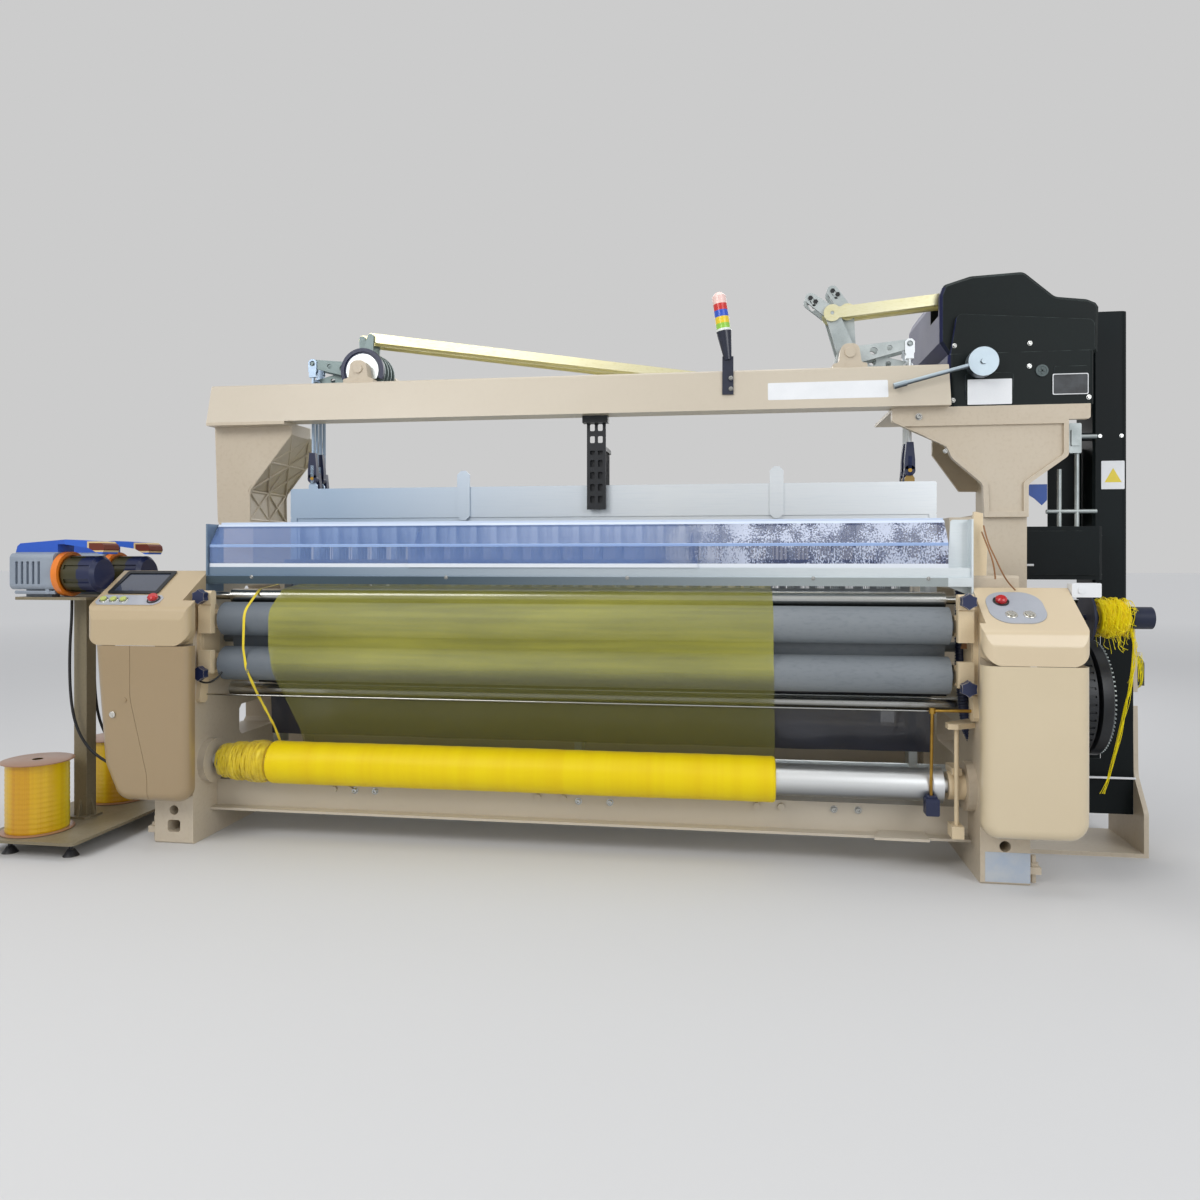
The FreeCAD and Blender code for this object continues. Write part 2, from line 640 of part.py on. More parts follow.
def moulded_shell(points):
    """Thin moulded cover: rounded all round its front face and open at the back."""
    outer = slab_y(points, -COVER_DEPTH, 0)
    outer = outer.makeFillet(COVER_EDGE_R, front_edges(outer, -COVER_DEPTH))
    inner = slab_y(frame_of(points, COVER_WALL), COVER_WALL - COVER_DEPTH, 1)
    inner = inner.makeChamfer(COVER_EDGE_R - COVER_WALL, front_edges(inner, COVER_WALL - COVER_DEPTH))
    return outer.cut(inner)


def left_cover_outline():
    x0, x1 = LEFT_COVER_X
    return [(x0 + 118, LEFT_COVER_BOTTOM, 60), (x1, LEFT_COVER_BOTTOM, 50),
            (x1, LEFT_SEAM_Z + 60, 36), (x0 + 22, LEFT_SEAM_Z + 60, 36), (x0 + 62, 300, 60)]


def right_cover_outline():
    x0, x1 = RIGHT_COVER_X
    return [(x0, RIGHT_COVER_BOTTOM, 48), (x1, RIGHT_COVER_BOTTOM, 60),
            (x1, RIGHT_SEAM_Z + 60, 36), (x0, RIGHT_SEAM_Z + 60, 36)]


def build_covers():
    """Two moulded front covers below the consoles; the outer half of the left one is a door."""
    x0, x1 = LEFT_COVER_X
    trim = box(x0 - 10, x1 + 10, -COVER_DEPTH - 1, 2, LEFT_SEAM_Z, LEFT_SEAM_Z + 80)
    left = moulded_shell(left_cover_outline()).cut(trim).cut(inboard_notch(LEFT_COVER_X))
    seam_top, seam_bottom = x0 + 168, x0 + 232
    door_side = [(x0 - 10, 100), (seam_bottom, 100), (seam_bottom, 260, 200),
                 (seam_top, LEFT_SEAM_Z - 180, 200), (seam_top, LEFT_SEAM_Z + 1),
                 (x0 - 10, LEFT_SEAM_Z + 1)]
    rest_side = [(seam_bottom + COVER_GAP, 100), (x1 + 10, 100), (x1 + 10, LEFT_SEAM_Z + 1),
                 (seam_top + COVER_GAP, LEFT_SEAM_Z + 1), (seam_top + COVER_GAP, LEFT_SEAM_Z - 180, 200),
                 (seam_bottom + COVER_GAP, 260, 200)]
    door = left.common(slab_y(door_side, -COVER_DEPTH - 1, 1))
    fixed = left.common(slab_y(rest_side, -COVER_DEPTH - 1, 1))
    lock = rod_y(-COVER_DEPTH - 3, -COVER_DEPTH + COVER_WALL, (seam_top - 20, 520), 9)
    nodes["left_cover_door"] = fuse([door, lock])
    nodes["left_lower_cover"] = fixed
    trim = box(RIGHT_COVER_X[0] - 10, RIGHT_COVER_X[1] + 10, -COVER_DEPTH - 1, 2,
               RIGHT_SEAM_Z, RIGHT_SEAM_Z + 80)
    right = moulded_shell(right_cover_outline()).cut(trim)
    nodes["right_lower_cover"] = right.cut(inboard_notch(RIGHT_COVER_X))


def desk_angle(desk):
    return math.atan2(desk[1][1] - desk[0][1], desk[1][0] - desk[0][0])


def desk_point(desk, x, along, height=0.0):
    """A point on a console's sloped desk: along is the distance up the slope from its front."""
    a = desk_angle(desk)
    y = desk[0][0] + along * math.cos(a) - height * math.sin(a)
    z = desk[0][1] + along * math.sin(a) + height * math.cos(a)
    return Vector(x, y, z)


def desk_normal(desk):
    a = desk_angle(desk)
    return Vector(0, -math.sin(a), math.cos(a))


def desk_rod(desk, x, along, low, high, radius):
    """A cylinder square to the desk, from height low to height high above it."""
    return Part.makeCylinder(radius, high - low, desk_point(desk, x, along, low), desk_normal(desk))


def desk_plate(desk, x0, x1, start, end, low, high, radius):
    """A rounded plate lying on the desk."""
    a = math.degrees(desk_angle(desk))
    plate = slab_z(rectangle(x0, x1, start, end, radius), low, high)
    plate.rotate(Vector(0, 0, 0), Vector(1, 0, 0), a)
    plate.translate(Vector(0, desk[0][0], desk[0][1]))
    return plate


def inboard_notch(cover_x):
    """The space beside a frame's inner face that the covers leave free for the brackets."""
    side = 1 if cover_x[0] > 0 else -1
    inner = frame_inner(side)
    x0, x1 = sorted((inner, inner - side * 60))
    return box(x0, x1, INBOARD_LIP - COVER_DEPTH, 200, 0, COLUMN_TOP)


def console_body(cover_x, seam, desk, top_round):
    """Moulded desk on top of a lower cover; it rests on the frame's sloped shoulder."""
    gap = COVER_GAP
    front, back = desk
    slope = (SHOULDER_HIGH - SHOULDER_LOW) / SHOULDER_DEPTH
    profile = [
        (-COVER_DEPTH, seam + gap), (0, seam + gap), (0, SHOULDER_LOW),
        (back[0], SHOULDER_LOW + slope * back[0]),
        (back[0] + 2, back[1] - 8, 6), (back[0] - 6, back[1] + 2, 6), (front[0], front[1], 30),
        (-COVER_DEPTH, front[1] - 40, 30),
    ]
    body = slab_x(profile, cover_x[0], cover_x[1])
    corner_r = top_round
    plan = slab_y(rectangle(cover_x[0], cover_x[1], seam, back[1] + 60, corner_r),
                  -COVER_DEPTH, back[0] + 10)
    plan_side = slab_z([(cover_x[0], -COVER_DEPTH, 30), (cover_x[1], -COVER_DEPTH, 30),
                        (cover_x[1], back[0] + 20), (cover_x[0], back[0] + 20)], seam, back[1] + 60)
    return body.common(plan_side).common(plan).cut(inboard_notch(cover_x))


def plunger(desk, x, along, radius, seat, travel, cap):
    """A push button: round cap above the desk on a stem that slides in the console."""
    half = radius * STEM_SHARE
    stem = desk_plate(desk, x - half, x + half, along - half, along + half, seat - 18,
                      seat + travel + 1, 0)
    head = desk_rod(desk, x, along, seat + travel, seat + travel + cap, radius)
    return stem.fuse(head)


def mushroom(desk, x, along, radius, seat, travel):
    """An emergency stop: wide domed head on a stem."""
    half = radius * STEM_SHARE
    stem = desk_plate(desk, x - half, x + half, along - half, along + half, seat - 22,
                      seat + travel + 3, 0)
    head = desk_rod(desk, x, along, seat + travel + 2, seat + travel + 16, radius)
    rim = [e for e in head.Edges if e.CenterOfMass.distanceToPoint(
        desk_point(desk, x, along, seat + travel + 16)) < 1]
    return stem.fuse(head.makeChamfer(5, rim))


def stem_hole(desk, x, along, radius, seat, travel):
    """Square hole that a button's stem slides in, deep enough for its travel."""
    half = radius * STEM_SHARE + BUTTON_FIT
    return desk_plate(desk, x - half, x + half, along - half, along + half,
                      seat - 26 - travel, seat + 1, 0)


LEFT_BUTTONS = [(-1612.0 + 38.0 * i, 42.0) for i in range(3)]
LEFT_ESTOP = (-1425.0, 46.0)
RIGHT_ESTOP = (1385.0, 150.0)
RIGHT_BUTTONS = [(1400.0, 82.0), (1452.0, 82.0)]
PANEL_THICK = 3.0


def build_consoles():
    """Both operator desks, the touch screen, their control panels and push buttons."""
    body = console_body(LEFT_COVER_X, LEFT_SEAM_Z, LEFT_DESK, 60)
    x0 = LEFT_COVER_X[0]
    panel = desk_plate(LEFT_DESK, x0 + 12, x0 + 12 + 244, 14, 74, 0, PANEL_THICK, 16)
    screen_x = x0 + 30
    screen = desk_plate(LEFT_DESK, screen_x, screen_x + SCREEN_SIZE[0], 84, 84 + SCREEN_SIZE[1],
                        -20, 5, 8)
    glass = desk_plate(LEFT_DESK, screen_x + 12, screen_x + SCREEN_SIZE[0] - 12, 96,
                       72 + SCREEN_SIZE[1], 4, 6, 3)
    nodes["touch_screen"] = fuse([screen, glass])
    body = fuse([body.cut(screen), panel])
    holes = []
    for i, (x, along) in enumerate(LEFT_BUTTONS):
        holes.append(stem_hole(LEFT_DESK, x, along, BUTTON_R, PANEL_THICK, BUTTON_TRAVEL))
        nodes[f"left_button_{i + 1}"] = plunger(LEFT_DESK, x, along, BUTTON_R, PANEL_THICK,
                                                BUTTON_TRAVEL, 5)
    x, along = LEFT_ESTOP
    holes.append(stem_hole(LEFT_DESK, x, along, ESTOP_R, PANEL_THICK, BUTTON_TRAVEL))
    nodes["left_estop"] = mushroom(LEFT_DESK, x, along, ESTOP_R, PANEL_THICK, BUTTON_TRAVEL)
    nodes["left_console"] = body.cut(group(holes))

    body = console_body(RIGHT_COVER_X, RIGHT_SEAM_Z, RIGHT_DESK, 60)
    panel = desk_plate(RIGHT_DESK, RIGHT_COVER_X[0] + 42, RIGHT_COVER_X[0] + 202, 44, 196,
                       0, PANEL_THICK, 62)
    body = fuse([body, panel])
    holes = []
    names = ("right_start_button", "right_stop_button")
    for name, (x, along) in zip(names, RIGHT_BUTTONS):
        holes.append(stem_hole(RIGHT_DESK, x, along, BUTTON_R, PANEL_THICK, BUTTON_TRAVEL))
        nodes[name] = plunger(RIGHT_DESK, x, along, BUTTON_R, PANEL_THICK, BUTTON_TRAVEL, 5)
    x, along = RIGHT_ESTOP
    holes.append(stem_hole(RIGHT_DESK, x, along, ESTOP_R, PANEL_THICK, BUTTON_TRAVEL))
    nodes["right_estop"] = mushroom(RIGHT_DESK, x, along, ESTOP_R, PANEL_THICK, BUTTON_TRAVEL)
    nodes["right_console"] = body.cut(group(holes))


# ---- breast rail, shields, bars --------------------------------------------------------------------

def build_breast_rail():
    """Extruded aluminium rail between the frames with a flanged plate at each end."""
    y0, y1 = RAIL_Y
    z0, z1 = RAIL_Z
    profile = [
        (y0, z0), (y1, z0), (y1, z0 + 5), (y0 + 5, z0 + 5), (y0 + 5, z0 + 26), (y1, z0 + 26),
        (y1, z1), (y0 + 8, z1), (y0 + 8, z0 + 32), (y0, z0 + 28),
    ]
    rail = slab_x(profile, frame_inner(-1), frame_inner(1))
    left_end = box(frame_inner(-1), frame_inner(-1) + 6, y0, y1 + 60, z0 - 30, SHIELD_TOP)
    x1 = frame_inner(1)
    right_end = slab_y([(x1 - 72, z0), (x1, z0 - 30), (x1, SHIELD_TOP), (x1 - 60, SHIELD_TOP, 6)],
                       y1, y1 + 5)
    cheek = box(x1 - 6, x1, y0, y1 + 60, z0 - 30, SHIELD_TOP)
    nodes["breast_rail"] = fuse([rail, left_end, right_end, cheek])


def shield_profile(y, z0, z1, lean):
    """A thin clear sheet with a folded top edge, leaning back by lean towards the top."""
    t = SHIELD_THICK
    return [(y, z0), (y + t, z0), (y + t + lean, z1 - t), (y + lean + 16, z1 - t),
            (y + lean + 16, z1), (y + lean, z1)]


def build_shields():
    """Splash shields above the rail: a lower and an upper row, and one pane that slides."""
    left, right = frame_inner(-1) + 8, frame_inner(1) - 74
    z0 = RAIL_Z[1]
    middle = z0 + 79
    y = RAIL_Y[0] + 10
    lower = slab_x(shield_profile(y, z0, middle, 0), left, right)
    upper = slab_x(shield_profile(y, middle, SHIELD_TOP, SHIELD_LEAN), left, right)
    track = slab_x(rectangle(y + 12, y + 20, z0, z0 + 10), left, right)
    stays = []
    for x in (left, -540, 420, right - 8):
        stays.append(slab_x([(y + SHIELD_THICK, z0), (RAIL_Y[1] - 8, z0), (y + SHIELD_LEAN + 12, SHIELD_TOP - 4),
                             (y + SHIELD_LEAN + 2, SHIELD_TOP - 4), (y + SHIELD_THICK, middle - 4)], x, x + 8))
    rail = slab_x(rectangle(y + SHIELD_LEAN + 16, y + SHIELD_LEAN + 26, SHIELD_TOP - 14, SHIELD_TOP + 8),
                  left, right)
    nodes["fixed_shields"] = fuse([lower, upper, track.cut(group(stays)), rail] + stays)
    gap = 1.0
    front = y - SHIELD_THICK - gap
    pane = slab_x([(front, z0), (front + SHIELD_THICK, z0), (front + SHIELD_THICK, middle - 6),
                   (front, middle - 6)], -560, 445)
    lip = slab_x(rectangle(front - 4, front, z0, z0 + 12), -560, 445)
    nodes["sliding_shield"] = fuse([pane, lip])


def build_guide_bars():
    """Polished guide bar, dark cloth pipe and the thin rod in front of the cloth."""
    left, right = frame_inner(-1), frame_inner(1)
    bars = [rod_x(left, right, GUIDE_BAR_YZ, 14)]
    bar = rod_x(-ROLLER_HALF, ROLLER_HALF, GUIDE_BAR_YZ, GUIDE_BAR_R)
    pipe = rod_x(left, right, CLOTH_PIPE_YZ, CLOTH_PIPE_R)
    wire = rod_x(left + BRACKET_WALL, right - BRACKET_WALL, WIRE_YZ, WIRE_R)
    nodes["guide_bars"] = group([fuse([bar] + bars), pipe, wire])


def roller_bracket(side):
    """Cast bracket on the frame's inner face with both press roller bearings and two clamps."""
    inner = frame_inner(side)
    mid = inner - side * BRACKET_WALL
    end = side * (ROLLER_HALF + 14)
    low, high = sorted((inner, mid))
    far_low, far_high = sorted((mid, end))
    upper, lower = UPPER_PRESS_YZ, LOWER_PRESS_YZ
    plate_points = [
        (28, 572, 12), (132, 572, 12), (140, 700, 30), (150, 812, 14), (112, 850, 10),
        (40, 850, 20), (22, 720, 40),
    ]
    plate = slab_x(plate_points, low, high)
    shapes = [plate]
    for centre in (upper, lower):
        shapes.append(rod_x(far_low, far_high, centre, 34))
        arm = [(centre[0] - 70, centre[1] - 20, 8), (centre[0], centre[1] - 20),
               (centre[0], centre[1] + 20), (centre[0] - 70, centre[1] + 20, 8)]
        shapes.append(slab_x(arm, far_low, far_high))
    shapes.append(slab_x(rectangle(6, 34, 600, 845, 6), far_low, far_high))
    lug = slab_x([(10, 500, 10), (60, 490, 10), (70, 572), (28, 574)], low, high)
    shapes.append(lug)
    bracket = fuse(shapes)
    cuts = [rod_x(min(inner, end) - 1, max(inner, end) + 1, centre, JOURNAL_R + JOURNAL_FIT)
            for centre in (upper, lower)]
    window_low, window_high = far_low - 1, far_high + 1
    cuts.append(slab_x(rectangle(-1, 40, 682, 742, 4), window_low, window_high))
    bracket = bracket.cut(group(cuts))
    knobs = []
    middle = (mid + end) / 2
    for z in (872, 604):
        spindle = slab_y(hexagon((middle, z), 13), -6, 6)
        grip = slab_y(star_knob((middle, z), 26), -34, -6)
        knobs.append(grip.fuse(spindle))
    ear = slab_x([(6, 844), (40, 844), (40, 892, 8), (6, 892, 8)], far_low, far_high)
    return [bracket.fuse(ear), knobs[0], knobs[1]]


def build_roller_brackets():
    right_inner = frame_inner(1)
    corner = slab_z([(right_inner - 90, 20), (right_inner - 60, 20), (right_inner, 60),
                     (right_inner, 140), (right_inner - 90, 60)], 470, 486)
    stop_rod = rod_z(150, 470, (right_inner - 60, 44), 7)
    stop_block = box(right_inner - 78, right_inner - 42, 20, 84, 128, 166)
    bearing = rod_x(right_inner - 78, right_inner - 26.3, CLOTH_BEAM_YZ, 44)
    bearing = bearing.cut(rod_x(right_inner - 80, right_inner, CLOTH_BEAM_YZ, 24 + JOURNAL_FIT))
    strap = box(right_inner - 70, right_inner - 40, 60, 148, 318, 340)
    pieces = roller_bracket(-1) + roller_bracket(1)
    pieces.append(fuse([corner, stop_rod, stop_block]))
    pieces.append(fuse([bearing, strap]))
    nodes["roller_brackets"] = group(pieces)


# ---- rollers, cloth and warp -------------------------------------------------------------------

def round_edges(shape):
    return [edge for edge in shape.Edges if isinstance(edge.Curve, Part.Circle)]


def journalled(yz, radius, journal, tip):
    """A roller with a journal at each end."""
    core = rod_x(-tip, tip, yz, journal)
    return core.fuse(rod_x(-ROLLER_HALF, ROLLER_HALF, yz, radius))


def build_rollers():
    tip = frame_inner(1)
    nodes["upper_press_roller"] = journalled(UPPER_PRESS_YZ, PRESS_ROLLER_R, JOURNAL_R, tip)
    nodes["lower_press_roller"] = journalled(LOWER_PRESS_YZ, PRESS_ROLLER_R, JOURNAL_R, tip)
    nodes["take_up_roller"] = journalled(TAKE_UP_YZ, TAKE_UP_R, JOURNAL_R, tip + 60)
    nodes["back_rest"] = journalled(BACK_REST_YZ, BACK_REST_R, JOURNAL_R, tip + 30)
    beam = rod_x(-ROLLER_HALF - 20, 1213, CLOTH_BEAM_YZ, CLOTH_BEAM_R)
    journal = rod_x(-tip - 70, tip + 70, CLOTH_BEAM_YZ, JOURNAL_R * 1.5)
    ring = rod_x(1190, 1222, CLOTH_BEAM_YZ, CLOTH_BEAM_R + 6)
    nodes["cloth_beam"] = fuse([beam, journal, ring])
    tube = rod_x(-2000, 2000, CLOTH_BEAM_YZ, CLOTH_BEAM_R)
    roll = rod_x(CLOTH_ROLL_X[0], CLOTH_ROLL_X[1], CLOTH_BEAM_YZ, CLOTH_ROLL_R)
    roll = roll.makeChamfer(12, round_edges(roll))
    lumps = []
    start = CLOTH_ROLL_X[0] - 5
    for width, radius in ((95, 74), (55, 68), (45, 60)):
        end = start - width
        lumps.append(rod_x(end, start + 6, CLOTH_BEAM_YZ, radius))
        start = end
    nodes["cloth_roll"] = fuse([roll] + lumps).cut(tube)


def bearing_shelf(side):
    """Pedestal on a frame's back top that carries the back rest."""
    inner, outer = frame_inner(side), frame_outer(side)
    x0, x1 = sorted((inner, outer))
    y, z = BACK_REST_YZ
    seat = slab_x([(y - 70, FRAME_BACK_TOP), (y + 70, FRAME_BACK_TOP), (y + 40, z + 20, 20),
                   (y + 10, z + 44, 20), (y - 30, z + 44, 20), (y - 50, z, 20)], x0 + 30, x1 - 30)
    return seat.cut(rod_x(x0, x1, BACK_REST_YZ, JOURNAL_R + JOURNAL_FIT))


def build_warp_beam():
    """Flanged beam wound full of yarn, on journals in the back of the frames."""
    tip = frame_inner(1) + 60
    y, z = WARP_BEAM_YZ
    tube = rod_x(-WARP_HALF - 30, WARP_HALF + 30, WARP_BEAM_YZ, WARP_BEAM_R)
    yarn = rod_x(-WARP_HALF, WARP_HALF, WARP_BEAM_YZ, WARP_WOUND_R)
    shapes = [tube, yarn, rod_x(-tip, tip, WARP_BEAM_YZ, JOURNAL_R * 2)]
    for side in (-1, 1):
        x0, x1 = sorted((side * WARP_HALF, side * (WARP_HALF + 22)))
        flange = rod_x(x0, x1, WARP_BEAM_YZ, WARP_FLANGE_R)
        shapes.append(flange)
        for i in range(8):
            rib = box(x0 - 7, x1 + 7, y + WARP_BEAM_R - 4, y + WARP_FLANGE_R - 8, z - 6, z + 6)
            rib.rotate(Vector(0, y, z), Vector(1, 0, 0), i * 45)
            shapes.append(rib)
    nodes["warp_beam"] = fuse(shapes)


def build_cloth_and_warp():
    """Woven cloth from the fell to the roll, its cut selvedge, and the warp sheet at the back."""
    wrap = SEAT_GAP + CLOTH_THICK / 2
    roll_back = (CLOTH_BEAM_YZ[0] + CLOTH_ROLL_R + wrap, CLOTH_BEAM_YZ[1] - 20, 0)
    stops = [
        (FELL_YZ[0], FELL_YZ[1], 0), (*GUIDE_BAR_YZ, GUIDE_BAR_R + wrap),
        (*UPPER_PRESS_YZ, PRESS_ROLLER_R + wrap), (*LOWER_PRESS_YZ, PRESS_ROLLER_R + wrap),
        (*CLOTH_BEAM_YZ, -CLOTH_ROLL_R - wrap), roll_back,
    ]
    cloth = sheet(stops, CLOTH_THICK, *CLOTH_X)
    selvedge = sheet(stops, CLOTH_THICK, *SELVEDGE_X)
    warp_stops = [
        (WARP_BEAM_YZ[0] + WARP_WOUND_R + wrap, WARP_BEAM_YZ[1] - 30, 0),
        (*WARP_BEAM_YZ, WARP_WOUND_R + wrap), (*BACK_REST_YZ, BACK_REST_R + wrap), (WARP_END_Y, 944, 0),
    ]
    warp = sheet(warp_stops, CLOTH_THICK, CLOTH_X[0] - 20, CLOTH_X[1] + 20)
    nodes["warp_and_cloth"] = group([cloth, selvedge, warp])


def build_sley():
    """Rocking beam on three swords with the reed in its slot."""
    y, z = SLEY_PIVOT_YZ
    tip = frame_inner(1) + 60
    shaft = rod_x(-tip, tip, SLEY_PIVOT_YZ, SLEY_PIVOT_R)
    beam = slab_x([(SLEY_BEAM_Y[0], SLEY_BEAM_Z[0], 8), (SLEY_BEAM_Y[1], SLEY_BEAM_Z[0], 8),
                   (SLEY_BEAM_Y[1], SLEY_BEAM_Z[1]), (SLEY_BEAM_Y[0], SLEY_BEAM_Z[1])],
                  -SLEY_HALF, SLEY_HALF)
    reed_y = (SLEY_BEAM_Y[0] + SLEY_BEAM_Y[1]) / 2
    slot = box(-SLEY_HALF - 1, SLEY_HALF + 1, reed_y - REED_THICK / 2, reed_y + REED_THICK / 2,
               SLEY_BEAM_Z[1] - 14, SLEY_BEAM_Z[1] + 1)
    swords = []
    for x in (-1180, 0, 1180):
        points = [(y - 34, z - 30, 20), (y + 34, z - 30, 20), (y + 36, z + 30, 20),
                  (SLEY_BEAM_Y[1] - 4, SLEY_BEAM_Z[0]), (SLEY_BEAM_Y[0] + 2, SLEY_BEAM_Z[0]),
                  (y - 34, z + 30, 20)]
        swords.append(slab_x(points, x - 14, x + 14))
    nodes["sley"] = fuse([shaft, beam] + swords).cut(slot)
    reed = box(-REED_HALF, REED_HALF, reed_y - REED_THICK / 2, reed_y + REED_THICK / 2,
               SLEY_BEAM_Z[1] - 14, REED_TOP)
    field = 2 * (REED_HALF - 20)
    pitch = field / REED_GAP_COUNT
    gaps = []
    for i in range(REED_GAP_COUNT):
        x = -REED_HALF + 20 + pitch * (i + 0.5)
        gaps.append(box(x - pitch * 0.3, x + pitch * 0.3, reed_y - REED_THICK, reed_y + REED_THICK,
                        SLEY_BEAM_Z[1] + 12, REED_TOP - 14))
    nodes["reed"] = reed.cut(group(gaps))


# ---- heald frames and the lever linkage ---------------------------------------------------------

HOOK_HALF = 1142.0
HALF_SWING = LEVER_SWING / 2
LEVER_REACH = LEVER_ARM * math.cos(math.radians(HALF_SWING))
LEVER_LIFT = LEVER_ARM * math.sin(math.radians(HALF_SWING))
RIGHT_PIVOT = (HEALD_CENTRE_X + HOOK_HALF - LEVER_REACH, LEVER_PIVOT_Z)
LEFT_PIVOT = (HEALD_CENTRE_X - HOOK_HALF + LEVER_REACH, LEVER_PIVOT_Z)
EYE_R = 13.0
CHEEK_GAP = 0.6
EYE_OPEN_R = EYE_R + OPEN_PIVOT_GAP
PIN_FIT = 0.08


def heald_y(i):
    """Middle plane of the i-th heald frame."""
    return HEALD_FIRST_Y + HEALD_PITCH * i


def raised(i):
    """1 for a frame that stands high at rest, -1 for one that stands low."""
    return 1 if i % 2 == 0 else -1


def lever_points(i):
    """The linkage's pins in the plane of one heald frame, with the loom at rest."""
    up = raised(i)
    tilt = up * HALF_SWING
    lean = DOBBY_ARM_LEAN - HALF_SWING + tilt
    return {
        "right_end": turned(RIGHT_PIVOT, tilt, LEVER_ARM),
        "right_low": turned(RIGHT_PIVOT, tilt - 90, ROD_ARM),
        "right_dobby": turned(RIGHT_PIVOT, 90 + lean, DOBBY_ARM),
        "right_top": turned(RIGHT_PIVOT, 90 + lean + 12, TOP_ARM),
        "left_end": turned(LEFT_PIVOT, 180 - tilt, LEVER_ARM),
        "left_top": turned(LEFT_PIVOT, 90 - tilt, ROD_ARM),
    }


def lightened_arm(pivot, tip, y0, y1, root_r, tip_r):
    """A tapered arm with two lightening holes between its eyes."""
    arm = tapered_link((*pivot, root_r), (*tip, tip_r), y0, y1)
    for share, radius in ((0.42, 14.0), (0.68, 10.0)):
        x = pivot[0] + (tip[0] - pivot[0]) * share
        z = pivot[1] + (tip[1] - pivot[1]) * share
        arm = arm.cut(rod_y(y0 - 1, y1 + 1, (x, z), radius))
    return arm


def right_lever(i):
    """Three-armed lever: heald arm, rod arm below and dobby arm above."""
    y = heald_y(i)
    y0, y1 = y - LEVER_THICK / 2, y + LEVER_THICK / 2
    p = lever_points(i)
    shapes = [
        rod_y(y - 10, y + 10, RIGHT_PIVOT, LEVER_HUB_R),
        lightened_arm(RIGHT_PIVOT, p["right_end"], y0, y1, 34, 17),
        tapered_link((*RIGHT_PIVOT, 30), (*p["right_low"], EYE_R), y0, y1),
        tapered_link((*RIGHT_PIVOT, 34), (*p["right_dobby"], 24), y0, y1),
        tapered_link((*p["right_dobby"], 24), (*p["right_top"], 20), y0, y1),
        rod_y(y0 - 8, y1 + 8, p["right_end"], PIN_R),
        rod_y(y0, y1 + 9, p["right_low"], PIN_R),
        rod_y(y0 - 9, y1, p["right_dobby"], PIN_R),
    ]
    lever = fuse(shapes)
    slot = tapered_link((*turned(p["right_top"], -60, 26), 8), (*p["right_top"], 8), y0 - 1, y1 + 1)
    bore = rod_y(y - 11, y + 11, RIGHT_PIVOT, LEVER_SHAFT_R + PIN_FIT)
    return lever.cut(group([slot])).cut(bore)


def left_lever(i):
    """Lever with a sector disc at its hub, driven by the cross rod at the top."""
    y = heald_y(i)
    y0, y1 = y - LEVER_THICK / 2, y + LEVER_THICK / 2
    p = lever_points(i)
    disc = rod_y(y0, y1, LEFT_PIVOT, SECTOR_R)
    for angle in range(0, 360, 90):
        disc = disc.cut(rod_y(y0 - 1, y1 + 1, turned(LEFT_PIVOT, angle + 30, 58), 14))
    shapes = [
        disc,
        rod_y(y - 10, y + 10, LEFT_PIVOT, LEVER_HUB_R),
        lightened_arm(LEFT_PIVOT, p["left_end"], y0, y1, 34, 17),
        tapered_link((*LEFT_PIVOT, 30), (*p["left_top"], EYE_R), y0, y1),
        rod_y(y0 - 8, y1 + 8, p["left_end"], PIN_R),
        rod_y(y0, y1 + 9, p["left_top"], PIN_R),
    ]
    return fuse(shapes).cut(rod_y(y - 11, y + 11, LEFT_PIVOT, LEVER_SHAFT_R + PIN_FIT))


def cross_rod(i):
    """Flat rod from the right lever's lower pin to the left lever's top pin."""
    p = lever_points(i)
    y0 = heald_y(i) + LEVER_THICK / 2 + 1.5
    y1 = y0 + ROD_THICK
    left, right = p["left_top"], p["right_low"]
    rod = tapered_link((*left, EYE_OPEN_R), (*right, EYE_R), y0, y1)
    rod = rod.cut(rod_y(y0 - 1, y1 + 1, left, PIN_R + OPEN_PIVOT_GAP))
    return rod.cut(rod_y(y0 - 1, y1 + 1, right, PIN_R + PIN_FIT))


DOBBY_ROD_LENGTH = 470.0
DOBBY_ROD_RISE = 44.0
DOBBY_ROD_EYE_R = 20.0


def dobby_rod(i):
    """Flat rod from the right lever's dobby arm into the dobby."""
    start = lever_points(i)["right_dobby"]
    end = (start[0] + DOBBY_ROD_LENGTH, start[1] + DOBBY_ROD_RISE)
    y1 = heald_y(i) - LEVER_THICK / 2 - 1.5
    y0 = y1 - ROD_THICK
    rod = tapered_link((*start, DOBBY_ROD_EYE_R), (*end, DOBBY_ROD_EYE_R), y0, y1)
    return rod.cut(rod_y(y0 - 1, y1 + 1, start, PIN_R + PIN_FIT))


